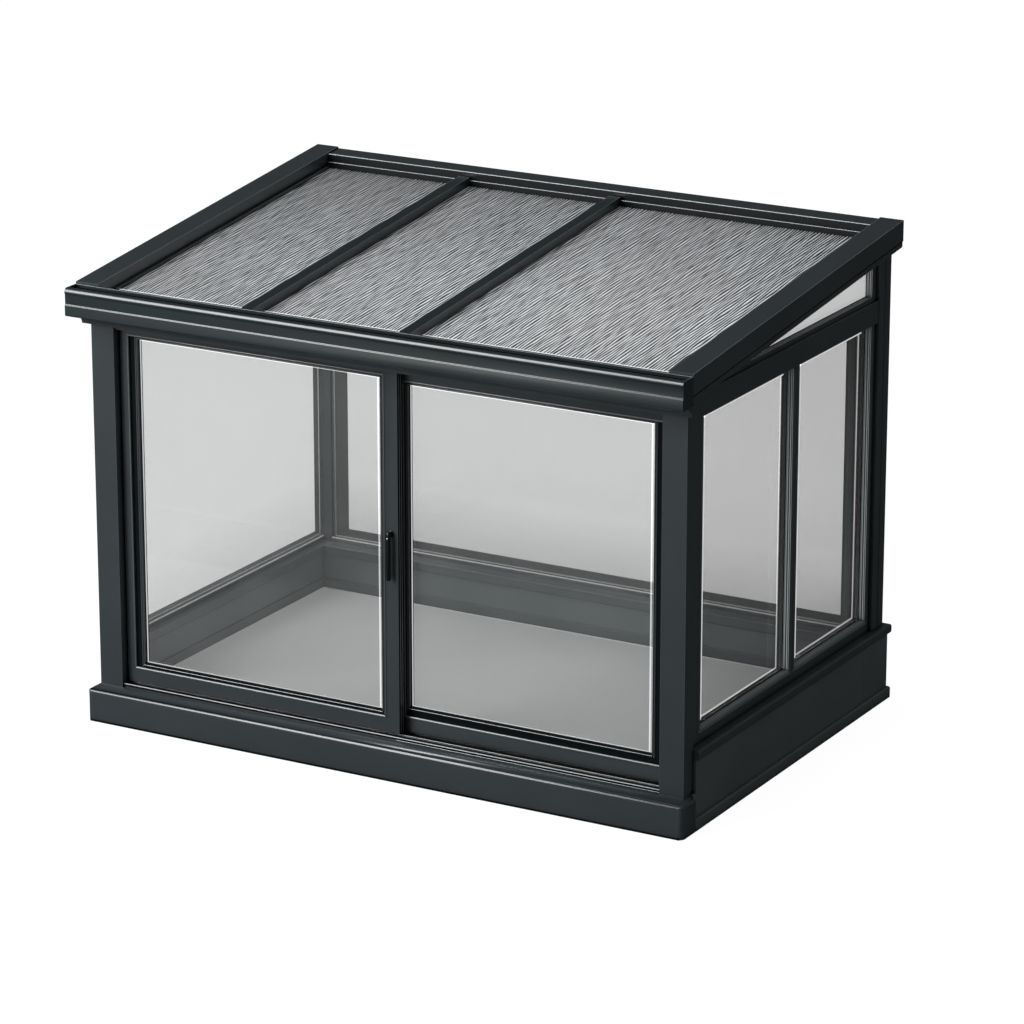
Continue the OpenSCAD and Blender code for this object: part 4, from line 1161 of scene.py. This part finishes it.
ground = bpy.data.meshes.new("studio_floor")
ground.from_pydata([(*p, 0) for p in rectangle(-REACH, -REACH, REACH, REACH)], [],
                   [[0, 1, 2, 3]])
ground.materials.append(studio_floor())
studio = add_object("studio_floor", ground)
studio.location.z = -0.5 * MM
studio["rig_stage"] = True

world = bpy.data.worlds.new("studio_world")
bpy.context.scene.world = world
world.use_nodes = True
sky = world.node_tree
sky.nodes.clear()
path = node(sky, "LightPath")
dimmed = node(sky, "MapRange", {
    "Value": path.outputs["Is Glossy Ray"], "To Min": 0.38, "To Max": 0.06})
power = node(sky, "Math", {
    0: dimmed, 1: path.outputs["Is Camera Ray"]}, operation="MAXIMUM")
back = node(sky, "Background", {"Color": linear("ffffff"), "Strength": power})
node(sky, "OutputWorld", {"Surface": back})
print("studio:", studio.name, "and", world.name)

# %% [markdown]
# ## The lights
# A tall broad key light stands to the front left, so the front is lit, the tops a little
# less, and the right side falls into soft shade. A broad weak panel under the roof stands
# for the sky that this dim studio leaves out; neither the eye nor a mirror sees it.

# %% The lights
KEY_WAY, KEY_DISTANCE = Vector((-0.50, -0.74, 0.46)), 14.0


def softbox(name, width, height, watts):
    lamp = bpy.data.lights.new(name, "AREA")
    lamp.shape, lamp.size, lamp.size_y, lamp.energy = "RECTANGLE", width, height, watts
    return add_object(name, lamp)


key = softbox("key_softbox", 7.0, 11.7, 1960.0)
aim = Vector((0.0, 0.0, 1.1))
key.location = aim + KEY_WAY.normalized() * KEY_DISTANCE
key.rotation_euler = (aim - key.location).to_track_quat("-Z", "Y").to_euler()
fill = softbox("room_fill", 2.7, 1.6, 32.0)
fill.location = (-0.4, 0.25, 2.0)
fill.visible_camera = fill.visible_glossy = fill.visible_transmission = False
print("key light at", [round(v, 2) for v in key.location])

# %% [markdown]
# ## The camera
# A long lens from far off keeps the uprights nearly parallel. It looks down a little from
# the front right corner. Light passes up to eight panes, each with two faces, and the pale
# edges between them, so Cycles is allowed more transparent steps than its usual eight.

# %% The camera
AZIMUTH, ELEVATION, DISTANCE = math.radians(29.48), math.radians(17.51), 22.246
TARGET = Vector((0.244, -0.191, 1.122))
lens = bpy.data.cameras.new("camera")
lens.lens, lens.sensor_width, lens.clip_end = 162.1, 36.0, 100.0
camera = add_object("camera", lens)
back_way = Vector((math.sin(AZIMUTH) * math.cos(ELEVATION),
                   -math.cos(AZIMUTH) * math.cos(ELEVATION), math.sin(ELEVATION)))
camera.location = TARGET + back_way * DISTANCE
camera.rotation_euler = (-back_way).to_track_quat("-Z", "Y").to_euler()
bpy.context.scene.camera = camera
bpy.context.scene.view_settings.view_transform = "Standard"
bpy.context.scene.cycles.transparent_max_bounces = 24
print("camera at", [round(v, 2) for v in camera.location])

# %% Sizes and finish
low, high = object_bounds()
print("visual model:", [round(v, 3) for v in high - low], "m")
